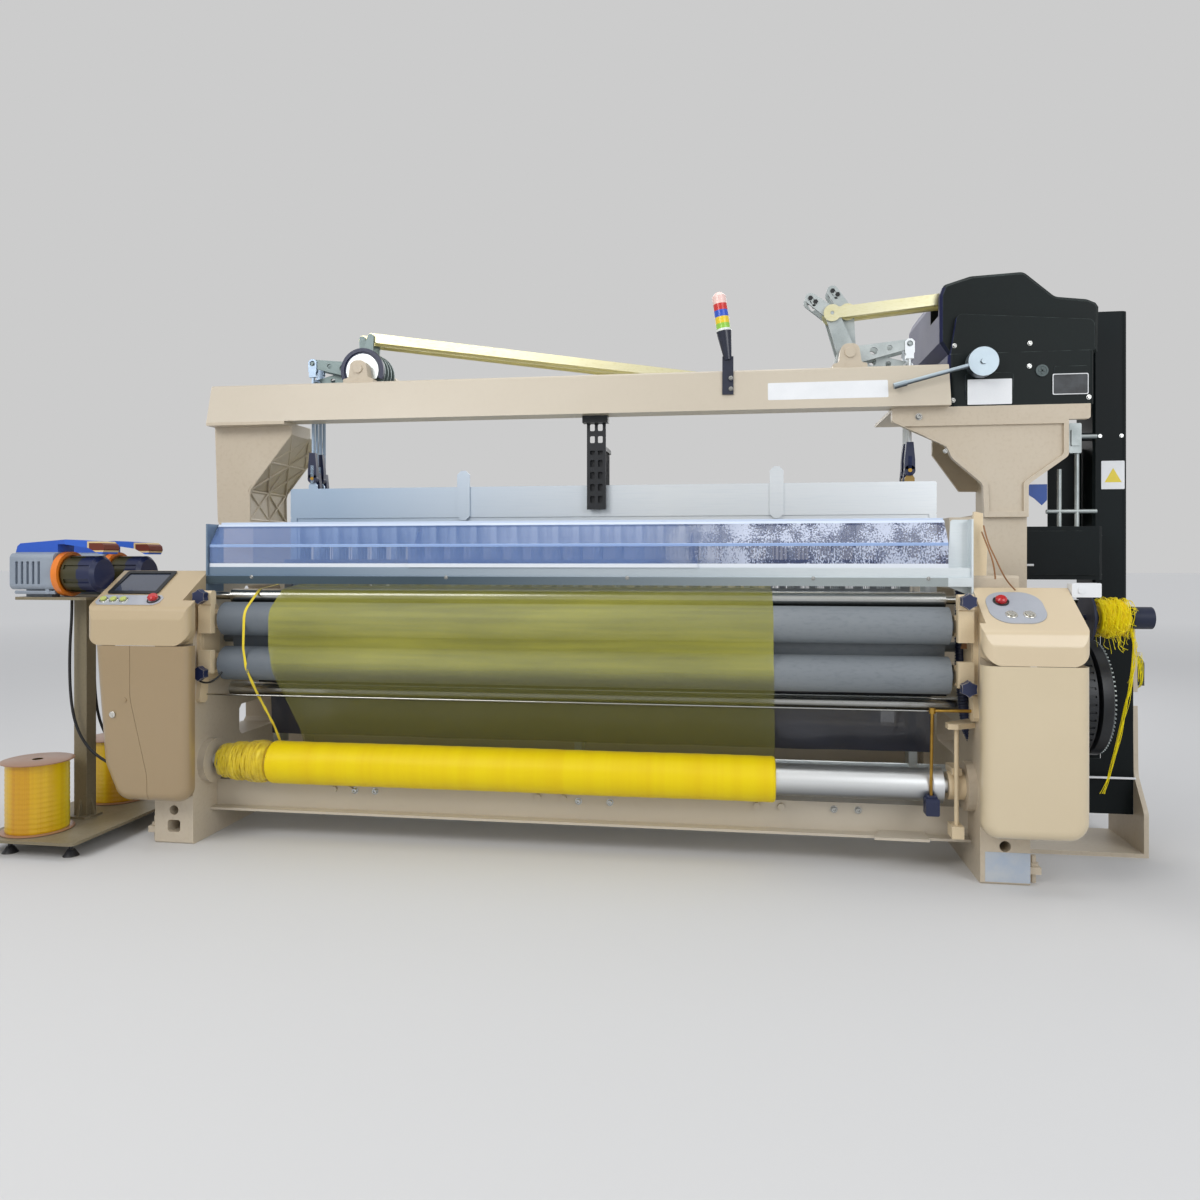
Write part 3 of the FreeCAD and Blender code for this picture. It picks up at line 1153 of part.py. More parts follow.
def heald_frame(i):
    """Box rails, side struts and a field of heddles, one solid."""
    y = heald_y(i)
    y0, y1 = y - HEALD_THICK / 2, y + HEALD_THICK / 2
    x0, x1 = HEALD_CENTRE_X - HEALD_HALF, HEALD_CENTRE_X + HEALD_HALF
    top = HEALD_TOP_MID + raised(i) * LEVER_LIFT
    bottom = top - HEALD_HEIGHT
    rail_low, rail_high = bottom + HEALD_BOTTOM_RAIL, top - HEALD_TOP_RAIL
    shapes = [
        slab_y(rectangle(x0, x1, rail_high, top, 6), y0, y1),
        box(x0, x1, y0, y1, bottom, rail_low),
        box(x0, x0 + HEALD_SIDE, y0, y1, rail_low - 1, rail_high + 1),
        box(x1 - HEALD_SIDE, x1, y0, y1, rail_low - 1, rail_high + 1),
    ]
    field = box(x0 + HEALD_SIDE, x1 - HEALD_SIDE, y - 1.5, y + 1.5, rail_low - 1, rail_high + 1)
    pitch = (x1 - x0 - 2 * HEALD_SIDE) / HEDDLE_GAP_COUNT
    gaps = []
    for n in range(HEDDLE_GAP_COUNT):
        x = x0 + HEALD_SIDE + pitch * (n + 0.5)
        gaps.append(box(x - pitch * 0.36, x + pitch * 0.36, y0 - 1, y1 + 1,
                        rail_low + 24, rail_high - 24))
    return fuse(shapes + [field]).cut(group(gaps))


def hanger(i, end):
    """Fork, rod and turnbuckle between a lever's pin and a heald frame's top rail."""
    y = heald_y(i)
    x = end[0]
    top = HEALD_TOP_MID + raised(i) * LEVER_LIFT
    half = LEVER_THICK / 2
    cheek_z0, cheek_z1 = end[1] - 42, end[1] + 18
    block = box(x - 14, x + 14, y - half - 5, y + half + 5, cheek_z0 - 12, cheek_z0)
    shapes = [block]
    for y0, y1 in ((y - half - 5, y - half - CHEEK_GAP), (y + half + CHEEK_GAP, y + half + 5)):
        cheek = slab_y(rectangle(x - 17, x + 17, cheek_z0, cheek_z1, 10), y0, y1)
        foot = box(x - 14, x + 14, y0, y1, cheek_z0 - 1, cheek_z0 + 11)
        shapes.append(cheek.fuse(foot).cut(rod_y(y0 - 1, y1 + 1, end, PIN_R + OPEN_PIVOT_GAP)))
    shapes.append(slab_z(hexagon((x, y), 2 * HANGER_ROD_R), top + 90, cheek_z0 - 11))
    shapes.append(slab_z(hexagon((x, y), 22), top + 22, top + 92))
    shapes.append(slab_y([(x - 17, top - 4), (x + 17, top - 4), (x + 17, top + 14, 6), (x + 9, top + 24),
                          (x - 9, top + 24), (x - 17, top + 14, 6)], y - 5, y + 5))
    return fuse(shapes)


def build_healds():
    """Two sets of frames, levers and rods: frames one and three, and frames two and four."""
    for letter, members in (("a", (0, 2)), ("b", (1, 3))):
        frames = []
        for i in members:
            p = lever_points(i)
            frames.append(fuse([heald_frame(i), hanger(i, p["left_end"]), hanger(i, p["right_end"])]))
        if letter == "a":
            front = heald_y(0) - HEALD_THICK / 2
            top = HEALD_TOP_MID + LEVER_LIFT
            for x in (-470, 720):
                guard = slab_y(rectangle(x - 25, x + 25, top - 130, top + 62, 16), front - 7, front)
                frames.append(guard)
        nodes[f"heald_frames_{letter}"] = group(frames)
        nodes[f"right_levers_{letter}"] = group([right_lever(i) for i in members])
        nodes[f"left_levers_{letter}"] = group([left_lever(i) for i in members])
        nodes[f"cross_rods_{letter}"] = group([cross_rod(i) for i in members])
        nodes[f"dobby_rods_{letter}"] = group([dobby_rod(i) for i in members])


def pillow_block(pivot, y0, y1, seat_z):
    """Cast bearing that holds a lever shaft on top of a beam."""
    x, z = pivot
    points = [(x - 60, seat_z), (x + 60, seat_z), (x + 60, seat_z + 14, 4), (x + 40, seat_z + 18, 6),
              (x + 30, z + 32, 26), (x - 30, z + 32, 26), (x - 40, seat_z + 18, 6), (x - 60, seat_z + 14, 4)]
    return slab_y(points, y0, y1)


def build_lever_shafts():
    """A fixed shaft along Y at each pivot, in a pillow block on each top beam."""
    seat = TOP_BEAM_Z[1]
    pieces = []
    for pivot in (LEFT_PIVOT, RIGHT_PIVOT):
        shaft = rod_y(TOP_BEAM_FRONT_HIGH + 4, REAR_TOP_BEAM_Y[1] - 10, pivot, LEVER_SHAFT_R)
        blocks = [pillow_block(pivot, TOP_BEAM_FRONT_HIGH + 10, TOP_BEAM_BACK, seat),
                  pillow_block(pivot, REAR_TOP_BEAM_Y[0] + 6, REAR_TOP_BEAM_Y[1] - 14, seat)]
        spacer_y = heald_y(HEALD_COUNT - 1) + 14
        spacer = rod_y(spacer_y, spacer_y + 20, pivot, LEVER_SHAFT_R + 9)
        pieces.append(fuse([shaft, spacer] + blocks))
    nodes["lever_shafts"] = group(pieces)


def build_guide_comb():
    """Comb hung from the top beam, with a tongue beside each heald frame."""
    x0, x1 = 17.0, 89.0
    low, high = 1190.0, TOP_BEAM_Z[0]
    front_y = HEALD_FIRST_Y - HEALD_THICK / 2 - 27
    front = slab_y(rectangle(x0, x1, low, high), front_y, front_y + 6)
    gaps = []
    for z in range(1215, 1500, 45):
        for x in (x0 + 12, x0 + 42):
            gaps.append(slab_y(rectangle(x, x + 18, z, z + 26, 3), front_y - 1, front_y + 7))
    yoke_z = HEALD_TOP_MID + LEVER_LIFT + 128
    yoke = box(x0, x1, front_y, heald_y(HEALD_COUNT - 1) + 20, yoke_z, yoke_z + 16)
    tongues = []
    for i in range(HEALD_COUNT + 1):
        y = heald_y(i) - HEALD_PITCH / 2
        tongues.append(box(x0 + 6, x1 - 6, y - 3, y + 3, low + 20, yoke_z + 1))
    clamp = box(x0 - 12, x1 + 12, TOP_BEAM_FRONT_LOW + 50, front_y + 6, high - 26, high)
    nodes["heald_guide_comb"] = fuse([front.cut(group(gaps)), yoke, clamp] + tongues)


# ---- dobby, drive and waste reel ---------------------------------------------------------------

def build_dobby():
    """Dobby gearbox on the right post, and its moulded two-tier cover."""
    x0, x1 = DOBBY_X
    y0, y1 = DOBBY_Y
    z0, z1 = DOBBY_Z
    gearbox = slab_z([(x0, y0, 20), (x1, y0, 20), (x1, y1, 20), (x0, y1, 20)], z0, z1)
    plate_left = slab_y(rectangle(x0 + 55, x0 + 215, z0 + 18, z1 - 70, 8), y0 - 3, y0)
    plate_right = slab_y(rectangle(x1 - 132, x1 - 24, z0 + 50, z1 - 54, 4), y0 - 2, y0)
    carrier = box(x1 - 30, GUARD_X[0], GUARD_Y[0] + 10, GUARD_Y[1] - 20, z0 + 20, z1 - 30)
    lever_bore = rod_y(y0 - 4, y0 + 40, HAND_LEVER_XZ, 12 + JOURNAL_FIT)
    housing = fuse([gearbox, plate_left, plate_right, carrier]).cut(lever_bore)
    nodes["dobby_housing"] = housing

    tier = [(x0 + 8, z1), (x1, z1), (x1, z1 + 106, 20), (x0 + 30, z1 + 142, 20)]
    front = slab_y(tier, y0 + 4, DOBBY_TIER_Y + 20)
    rise = DOBBY_PEAK - z1
    back_outline = [
        (x0 - 24, z1 + 0.17 * rise), (x0 + 8, z1), (x1 + 20, z1), (x1 + 24, z1 + 0.575 * rise, 16),
        (x1 - 15, z1 + 0.637 * rise, 30), (x1 - 118, z1 + 0.682 * rise, 40), (x1 - 222, DOBBY_PEAK, 34),
        (x0 + 80, DOBBY_PEAK - 8, 60), (x0 - 10, z1 + 0.877 * rise, 20), (x0 - 24, z1 + 0.749 * rise, 12),
    ]
    back = slab_y(back_outline, DOBBY_TIER_Y, y1 - 30)
    back = back.makeChamfer(10, front_edges(back, DOBBY_TIER_Y))
    round_cap = rod_y(y0 - 2, y0 + 5, (1618, 1655), 20)
    pocket_y0, pocket_y1 = heald_y(0) - 24, heald_y(HEALD_COUNT - 1) + 6
    pocket = box(x0 - 60, x0 + 250, pocket_y0, pocket_y1, z1 + 148, DOBBY_PEAK - 20)
    nodes["dobby_cover"] = fuse([front, back]).cut(pocket)
    nodes["dobby_housing"] = housing.fuse(round_cap)


def build_guard():
    """Tall belt guard between the main drive and the dobby."""
    x0, x1 = GUARD_X
    y0, y1 = GUARD_Y
    guard = slab_z([(x0, y0, 8), (x1, y0, 26), (x1, y1, 12), (x0, y1, 8)], *GUARD_Z)
    link = box(DOBBY_X[1] - 40, x0 + 4, y0 + 10, y0 + 40, 1440, 1466)
    nodes["drive_guard"] = fuse([guard, link])
    x2 = frame_inner(1) + RIGHT_COLUMN_SHIFT + FRAME_WIDTH
    cabinet = slab_z([(x2, 500), (x0, 500, 12), (x0, 640), (x2, 640)], 930, 1120)
    lid = slab_y(rectangle(x2 + 14, x0 - 14, 946, 1104, 10), 494, 500)
    nodes["electrical_box"] = cabinet.fuse(lid)


def build_hand_lever():
    """Disc with a long polished handle for turning the dobby by hand."""
    y0 = DOBBY_Y[0]
    disc = rod_y(y0 - 58, y0 - 4, HAND_LEVER_XZ, HAND_LEVER_DISC_R)
    disc = disc.makeChamfer(8, round_edges(disc)[:1])
    journal = rod_y(y0 - 10, y0 + 36, HAND_LEVER_XZ, 12)
    a = Vector(HAND_LEVER_XZ[0], y0 - 48, HAND_LEVER_XZ[1])
    b = Vector(HAND_LEVER_TIP_XZ[0], y0 - 48, HAND_LEVER_TIP_XZ[1])
    handle = Part.makeCylinder(8, (b - a).Length, a, b - a)
    grip = Part.makeCylinder(11, 44, b, a - b)
    screw = slab_y(hexagon(HAND_LEVER_XZ, 18), y0 - 66, y0 - 57)
    nodes["hand_lever"] = fuse([disc, journal, handle, grip, screw])


def build_drive():
    """Toothed drive pulley on the main shaft, which crosses the machine."""
    x0, x1 = DRIVE_PULLEY_X
    rim = rod_x(x0, x1, MAIN_SHAFT_YZ, DRIVE_PULLEY_R)
    hollow = rod_x(x0 + 12, x1 + 1, MAIN_SHAFT_YZ, DRIVE_PULLEY_R - 24)
    teeth = []
    for i in range(DRIVE_TEETH):
        y, z = turned(MAIN_SHAFT_YZ, i * 360 / DRIVE_TEETH, DRIVE_PULLEY_R)
        notch = box(x0 + 6, x1 - 6, y - 5, y + 5, z - 4, z + 4)
        notch.rotate(Vector(0, y, z), Vector(1, 0, 0), i * 360 / DRIVE_TEETH)
        teeth.append(notch)
    hub = rod_x(x0, x1 + 20, MAIN_SHAFT_YZ, 52)
    shaft = rod_x(-frame_outer(1) - 20, x1 + 40, MAIN_SHAFT_YZ, MAIN_SHAFT_R)
    spokes = []
    for i in range(5):
        spoke = box(x0 + 10, x1 - 20, MAIN_SHAFT_YZ[0] - 12, MAIN_SHAFT_YZ[0] + 12,
                    MAIN_SHAFT_YZ[1] + 30, MAIN_SHAFT_YZ[1] + DRIVE_PULLEY_R - 20)
        spoke.rotate(Vector(0, *MAIN_SHAFT_YZ), Vector(1, 0, 0), i * 72)
        spokes.append(spoke)
    nodes["drive_pulley"] = fuse([rim.cut(hollow), hub, shaft] + spokes).cut(group(teeth))


REEL_SLEEVE_R = 22.0
REEL_SPINDLE_R = 9.0


def build_waste_reel():
    """Reel for the cut selvedge yarn, on a spindle in a sleeve on the right frame."""
    start = frame_inner(1) + FRAME_WEB
    sleeve_end = frame_outer(1) + 110
    sleeve = rod_x(start - 1, sleeve_end, WASTE_REEL_YZ, REEL_SLEEVE_R)
    bore = rod_x(start - 2, sleeve_end + 1, WASTE_REEL_YZ, REEL_SPINDLE_R + JOURNAL_FIT)
    frame, *rest = nodes["right_side_frame"].Solids
    frame = frame.cut(rod_x(start - 2, sleeve_end + 1, WASTE_REEL_YZ, REEL_SLEEVE_R)).fuse(sleeve).cut(bore)
    nodes["right_side_frame"] = group([frame] + rest)
    shapes = [
        rod_x(start, 1908, WASTE_REEL_YZ, REEL_SPINDLE_R),
        rod_x(1700, 1708, WASTE_REEL_YZ, 80),
        rod_x(1706, 1840, WASTE_REEL_YZ, 26),
        rod_x(1838, 1900, WASTE_REEL_YZ, 36),
    ]
    yarn = rod_x(1735, 1826, WASTE_REEL_YZ, 56)
    shapes.append(yarn.makeChamfer(16, round_edges(yarn)))
    nodes["waste_reel"] = fuse(shapes)


# ---- signal tower ---------------------------------------------------------------------------------

def build_signal_tower():
    """Black bracket on the top beam, tapered holder and a stack of lamp segments."""
    face_lean = (TOP_BEAM_FRONT_HIGH - TOP_BEAM_FRONT_LOW) / (TOP_BEAM_Z[1] - TOP_BEAM_Z[0])
    low, high = 1596.0, 1738.0
    y_low = TOP_BEAM_FRONT_LOW + (low - TOP_BEAM_Z[0]) * face_lean
    y_top = TOP_BEAM_FRONT_LOW + (TOP_BEAM_Z[1] - TOP_BEAM_Z[0]) * face_lean
    plate = slab_x([(y_low - 6, low), (y_low, low), (y_top, TOP_BEAM_Z[1]), (y_top, high),
                    (y_top - 6, high), (y_top - 6, TOP_BEAM_Z[1])], TOWER_X - 20, TOWER_X + 20)
    base = Vector(TOWER_X, y_top - 2, high - 12)
    holder = Part.makeCone(14, LAMP_R + 3, 108, base)
    low_lamp = base.z + 107
    lamps = rod_z(low_lamp, low_lamp + 5 * LAMP_HEIGHT + LAMP_DOME, (TOWER_X, base.y), LAMP_R)
    top_edge = [e for e in round_edges(lamps) if e.CenterOfMass.z > low_lamp + LAMP_DOME]
    tower = fuse([holder, lamps.makeChamfer(LAMP_DOME * 0.7, top_edge)])
    tower.rotate(base, Vector(0, 1, 0), -TOWER_LEAN)
    nodes["signal_tower"] = fuse([plate, tower])


# ---- weft feeder stand -----------------------------------------------------------------------------

FEEDER_PLATE_Z = (STAND_POST_TOP, STAND_POST_TOP + 10.0)


def build_feeder_stand():
    """Base plate on four feet, square post and the plate that the feeders stand on."""
    x0, x1 = STAND_X
    y0, y1 = STAND_Y
    px, py = STAND_POST_XY
    half = STAND_POST_SIDE / 2
    base = slab_z([(x0, y0, 20), (x1, y0, 20), (x1, y1, 20), (x0, y1, 20)], *STAND_PLATE_Z)
    post = box(px - half, px + half, py - half, py + half, STAND_PLATE_Z[1], STAND_POST_TOP)
    post_foot = slab_z(rectangle(px - 44, px + 44, py - 44, py + 44, 10), STAND_PLATE_Z[1],
                       STAND_PLATE_Z[1] + 8)
    gussets = []
    for angle in (0, 90, 180, 270):
        rib = slab_y([(px + half - 1, STAND_PLATE_Z[1] + 8), (px + 42, STAND_PLATE_Z[1] + 8),
                      (px + half - 1, STAND_PLATE_Z[1] + 70)], py - 4, py + 4)
        rib.rotate(Vector(px, py, 0), Vector(0, 0, 1), angle)
        gussets.append(rib)
    top = slab_z(rectangle(-1985, -1705, -48, 305, 12), *FEEDER_PLATE_Z)
    feet = []
    for x in (x0 + 95, x1 - 55):
        for y in (y0 + 60, y1 - 52):
            pad = Part.makeCone(26, 12, 22, Vector(x, y, 0))
            stem = slab_z(hexagon((x, y), 13), 20, STAND_PLATE_Z[0])
            nut = slab_z(hexagon((x, y), 24), STAND_PLATE_Z[0] - 9, STAND_PLATE_Z[0])
            feet.append(fuse([pad, stem, nut]))
    nodes["feeder_stand"] = group([fuse([base, post, post_foot, top] + gussets)] + feet)


def spool(y):
    """A yarn package: round flanges and the winding between them."""
    z0 = STAND_PLATE_Z[1]
    centre = (SPOOL_X, y)
    winding = rod_z(z0, z0 + SPOOL_HEIGHT, centre, SPOOL_R - 16)
    low = rod_z(z0, z0 + 5, centre, SPOOL_R)
    high = rod_z(z0 + SPOOL_HEIGHT - 5, z0 + SPOOL_HEIGHT, centre, SPOOL_R)
    bore = rod_z(z0 - 1, z0 + SPOOL_HEIGHT + 1, centre, 16)
    return fuse([winding, low, high]).cut(bore)


def feeder_body(y):
    """Motor body with cooling slots, sensor arm over a fixed ribbed drum, and its foot."""
    x0, x1 = FEEDER_BODY_X
    z = FEEDER_Z
    middle = z + FEEDER_RISE
    body = slab_x(rectangle(y - 62, y + 62, middle - 72, middle + 58, 20), x0, x1 - 1)
    slots = []
    for i in range(5):
        x = x0 + 22 + i * 22
        slots.append(box(x, x + 10, y - 63, y - 52, middle - 52, middle + 28))
    arm = slab_y([(x0 + 4, middle + 56), (x1, middle + 56), (x1, middle + 89), (x1 + 24, middle + 89),
                  (-1694, middle + 76), (-1646, middle + 52, 12), (-1628, middle + 60, 14),
                  (-1636, middle + 98, 16), (-1780, middle + 106, 30), (x0 + 14, middle + 92, 14)],
                 y - 40, y + 40)
    shaft = rod_x(x1 - 4, FEEDER_NOSE_X - 10, (y, z), 10)
    drum_start = x1 + 30
    drum = rod_x(drum_start, FEEDER_NOSE_X, (y, z), FEEDER_DRUM_R)
    drum = drum.makeChamfer(12, [e for e in round_edges(drum) if abs(e.CenterOfMass.x - FEEDER_NOSE_X) < 1])
    grooves = []
    for i in range(8):
        groove = box(drum_start + 8, FEEDER_NOSE_X - 16, y - 8, y + 8, z + FEEDER_DRUM_R - 6,
                     z + FEEDER_DRUM_R + 2)
        groove.rotate(Vector(0, y, z), Vector(1, 0, 0), 45 * i + 22.5)
        grooves.append(groove)
    foot = box(x0 + 30, x1 - 40, y - 20, y + 20, FEEDER_PLATE_Z[1], middle - 70)
    handle = slab_x(hexagon((y - 44, middle - 82), 12), x0 + 10, x1 - 4)
    lug = box(x1 - 40, x1 - 26, y - 51, y - 37, middle - 87, middle - 60)
    return fuse([body.cut(group(slots)), arm, shaft, drum.cut(group(grooves)), foot, handle, lug])


def feeder_rotor(y):
    """The winding disc that spins between the body and the drum."""
    x1 = FEEDER_BODY_X[1]
    ring = rod_x(x1 + 3, x1 + 26, (y, FEEDER_Z), FEEDER_RING_R)
    hollow = rod_x(x1 + 12, x1 + 27, (y, FEEDER_Z), FEEDER_RING_R - 12)
    bore = rod_x(x1, x1 + 30, (y, FEEDER_Z), 10 + JOURNAL_FIT)
    return ring.cut(hollow).cut(bore)


def build_feeders():
    nodes["yarn_spools"] = group([spool(y) for y in SPOOL_Y])
    nodes["feeder_bodies"] = group([feeder_body(y) for y in FEEDER_Y])
    nodes["feeder_rotor_front"] = feeder_rotor(FEEDER_Y[0])
    nodes["feeder_rotor_rear"] = feeder_rotor(FEEDER_Y[1])


# Control leads from the plate under the feeders down beside the post and behind the left cover.
FRONT_CABLE = [
    (-1806, 22, 858), (-1806, 22, 800), (-1811, 18, 700), (-1812, 17, 585), (-1806, 19, 475),
    (-1788, 23, 390), (-1748, 27, 322), (-1690, 33, 276), (-1622, 46, 244), (-1552, 64, 216),
    (-1506, 73, 198), (-1463, 73, 198),
]
REAR_CABLE = [
    (-1800, 128, 858), (-1800, 128, 800), (-1804, 131, 700), (-1803, 132, 590), (-1796, 131, 480),
    (-1778, 130, 395), (-1740, 130, 325), (-1684, 132, 272), (-1616, 136, 236), (-1550, 138, 210),
    (-1506, 138, 196), (-1463, 138, 196),
]


def cable(route, radius):
    """Round tube along straight runs joined by tangent arcs; prints its length and radii."""
    points = [Vector(*p) for p in route]
    edges = []
    radii = []
    previous = points[0]
    for before, corner, after in zip(points, points[1:], points[2:]):
        half_turn = (corner - before).getAngle(after - corner) / 2
        shorter = min((corner - before).Length, (after - corner).Length)
        bend = 0.45 * shorter / math.tan(half_turn)
        radii.append(bend)
        start, middle, end = corner_arc(before, corner, after, bend)
        edges.append(Part.LineSegment(previous, start).toShape())
        edges.append(Part.Arc(start, middle, end).toShape())
        previous = end
    edges.append(Part.LineSegment(previous, points[-1]).toShape())
    path = Part.Wire(edges)
    corners = []
    across = (points[1] - points[0]).cross(Vector(0, 1, 0)).normalize()
    upright = (points[1] - points[0]).cross(across).normalize()
    for i in range(CABLE_SIDES + 1):
        u, v = turned((0, 0), 360 * i / CABLE_SIDES, radius)
        corners.append(points[0] + across * u + upright * v)
    tube = path.makePipeShell([Part.makePolygon(corners)], True, False)
    wedge = math.pi / CABLE_SIDES
    expected = CABLE_SIDES * radius ** 2 * math.sin(wedge) * math.cos(wedge) * path.Length
    print("cable length", round(path.Length), "least bend radius", round(min(radii)),
          "volume ratio", round(tube.Volume / expected, 4))
    return tube


def build_cables():
    nodes["feeder_cables"] = group([cable(FRONT_CABLE, CABLE_R), cable(REAR_CABLE, CABLE_R)])


# ---- the whole machine -----------------------------------------------------------------------------

CORD_NODES = ("feeder_cables",)


def build_all():
    build_side_frames()
    build_cross_beams()
    build_top_beams()
    build_left_post()
    build_right_post()
    build_covers()
    build_consoles()
    build_breast_rail()
    build_shields()
    build_guide_bars()
    build_roller_brackets()
    build_rollers()
    build_warp_beam()
    build_cloth_and_warp()
    build_sley()
    build_healds()
    build_lever_shafts()
    build_guide_comb()
    build_dobby()
    build_guard()
    build_hand_lever()
    build_drive()
    build_waste_reel()
    build_signal_tower()
    build_feeder_stand()
    build_feeders()
    build_cables()


def origin_shift():
    """Moves the origin to the middle of the machine's footprint, on the floor."""
    whole = group([shape for name, shape in nodes.items() if name not in CORD_NODES]).BoundBox
    return Vector(-(whole.XMin + whole.XMax) / 2, -(whole.YMin + whole.YMax) / 2, -whole.ZMin)


build_all()
SHIFT = origin_shift()
os.makedirs("parts", exist_ok=True)
for name, shape in nodes.items():
    shape.translate(SHIFT)
    shape.exportStep(f"parts/{name}.step")
print(len(nodes), "nodes, origin moved by", SHIFT)
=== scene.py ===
import math
import random

import bmesh
import bpy
from mathutils import Matrix, Vector
from mathutils.geometry import tessellate_polygon


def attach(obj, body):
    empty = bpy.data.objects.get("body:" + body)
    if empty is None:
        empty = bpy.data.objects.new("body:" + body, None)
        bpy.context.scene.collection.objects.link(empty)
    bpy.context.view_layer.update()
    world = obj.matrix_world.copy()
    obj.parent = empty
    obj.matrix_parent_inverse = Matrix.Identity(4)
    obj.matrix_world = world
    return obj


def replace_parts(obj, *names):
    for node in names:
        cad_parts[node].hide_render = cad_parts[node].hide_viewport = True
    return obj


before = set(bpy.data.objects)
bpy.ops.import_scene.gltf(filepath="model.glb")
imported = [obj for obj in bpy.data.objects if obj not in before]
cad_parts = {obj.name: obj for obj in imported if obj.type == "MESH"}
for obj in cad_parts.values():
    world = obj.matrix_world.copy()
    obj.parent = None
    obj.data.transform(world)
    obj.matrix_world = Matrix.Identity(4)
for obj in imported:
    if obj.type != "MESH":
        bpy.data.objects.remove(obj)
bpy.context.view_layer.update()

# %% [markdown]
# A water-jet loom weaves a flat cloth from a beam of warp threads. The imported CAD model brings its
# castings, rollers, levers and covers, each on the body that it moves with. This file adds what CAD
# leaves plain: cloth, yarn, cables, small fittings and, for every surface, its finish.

ORIGIN = Vector((0.0, -0.760, 0.0))


def at(x, y, z):
    """A point given in millimetres from the loom's middle, its front frame face and the floor."""
    return Vector((x, y, z)) / 1000 + ORIGIN


def in_scene(name, data):
    """A new object with that data, linked to the scene."""
    made = bpy.data.objects.new(name, data)
    bpy.context.scene.collection.objects.link(made)
    return made


# %% [markdown]
# The camera stands where the photographer stood: in front of the machine, a little right of its
# middle, at breast height, with a wide lens turned a few degrees to the left. Its frame is slid
# down a little instead of being tilted, so uprights stay upright.

# %% Camera
CAMERA_PLACE = at(561, -2922, 1000)
LENS = 27.0
TURN_LEFT = 8.4
FRAME_SLIDE = -40 / 1200

camera_data = bpy.data.cameras.new("camera")
camera_data.lens = LENS
camera_data.sensor_width = 36.0
camera_data.shift_y = FRAME_SLIDE
camera_data.clip_start = 0.05
camera = in_scene("camera", camera_data)
camera.location = CAMERA_PLACE
camera.rotation_euler = (math.radians(90), 0, math.radians(TURN_LEFT))
bpy.context.scene.camera = camera
print("camera", tuple(CAMERA_PLACE), "lens", LENS)

# %% [markdown]
# A shader group is a small machine for surface detail: it is wired once, and every finish that
# uses it sets its own scale and strength. Groups here put out colours, masks and normals, and the
# shader itself stays in the material.

# %% Wiring helpers


def node(tree, kind, sockets=None, **settings):
    """Add a shader node, set its properties, and fill its sockets with values or links."""
    made = tree.nodes.new("ShaderNode" + kind)
    for name, value in settings.items():
        setattr(made, name, value)
    for name, value in (sockets or {}).items():
        if isinstance(value, bpy.types.NodeSocket):
            tree.links.new(value, made.inputs[name])
        else:
            made.inputs[name].default_value = value
    return made


def shader_group(name, inputs, outputs):
    """An empty node group with named inputs (name, type, default) and outputs (name, type)."""
    tree = bpy.data.node_groups.new(name, "ShaderNodeTree")
    for label, kind, default in inputs:
        socket = tree.interface.new_socket(label, in_out="INPUT", socket_type="NodeSocket" + kind)
        socket.default_value = default
    for label, kind in outputs:
        tree.interface.new_socket(label, in_out="OUTPUT", socket_type="NodeSocket" + kind)
    return tree, tree.nodes.new("NodeGroupInput").outputs, tree.nodes.new("NodeGroupOutput").inputs


def combine(tree, operation, first, second=0.0, **settings):
    """What one Math node makes of one or two values."""
    return node(tree, "Math", {0: first, 1: second}, operation=operation, **settings).outputs[0]


def times(tree, first, second):
    """Product of two values, kept between 0 and 1."""
    return combine(tree, "MULTIPLY", first, second, use_clamp=True)


def combine_vectors(tree, operation, first, second, output=0):
    """What one Vector Math node makes of two vectors."""
    return node(tree, "VectorMath", {0: first, 1: second}, operation=operation).outputs[output]


def part_of(tree, vector, axis):
    """One coordinate of a vector: 0, 1 or 2."""
    return node(tree, "SeparateXYZ", {0: vector}).outputs[axis]


def place_of(tree, stretch=None):
    """Object coordinates, stretched by a vector socket or value where one is given."""
    where = node(tree, "TexCoord").outputs["Object"]
    return where if stretch is None else combine_vectors(tree, "MULTIPLY", where, stretch)


def normal_of(tree):
    """The true direction that a face looks in."""
    return node(tree, "NewGeometry").outputs["Normal"]


def noise(tree, where, scale, detail=2.0, **settings):
    """Smooth random values from about 0.3 to 0.7."""
    return node(tree, "TexNoise", {"Vector": where, "Scale": scale, "Detail": detail,
                                   **settings}).outputs["Fac"]


def ramp(tree, value, low, high, to_low=0.0, to_high=1.0):
    """Spread a value between two limits over another range, held at its ends."""
    made = node(tree, "MapRange", {"Value": value, "From Min": low, "From Max": high,
                                   "To Min": to_low, "To Max": to_high}, clamp=True)
    return made.outputs["Result"]


def blend_colours(tree, factor, first, second):
    """Mix two colours; the Mix node's colour sockets are its seventh and eighth."""
    return node(tree, "Mix", {0: factor, 6: first, 7: second}, data_type="RGBA").outputs[2]


# %% Mottled colour: broad clouds and fine specks, as paint, rubber and cast metal have
mottle, given, put = shader_group(
    "mottle",
    [("Base", "Color", (0.5, 0.5, 0.5, 1)), ("Shade", "Color", (0.4, 0.4, 0.4, 1)),
     ("Scale", "Float", 3.0), ("Clouds", "Float", 0.5), ("Specks", "Float", 0.3),
     ("Stretch", "Vector", (1, 1, 1))],
    [("Color", "Color"), ("Mask", "Float")])
spot = place_of(mottle, given["Stretch"])
broad = noise(mottle, spot, given["Scale"], 5.0, Roughness=0.55)
fine = noise(mottle, spot, combine(mottle, "MULTIPLY", given["Scale"], 37.0), 3.0)
shade_mask = combine(mottle, "ADD", times(mottle, ramp(mottle, broad, 0.35, 0.68), given["Clouds"]),
                     times(mottle, ramp(mottle, fine, 0.5, 0.72), given["Specks"]), use_clamp=True)
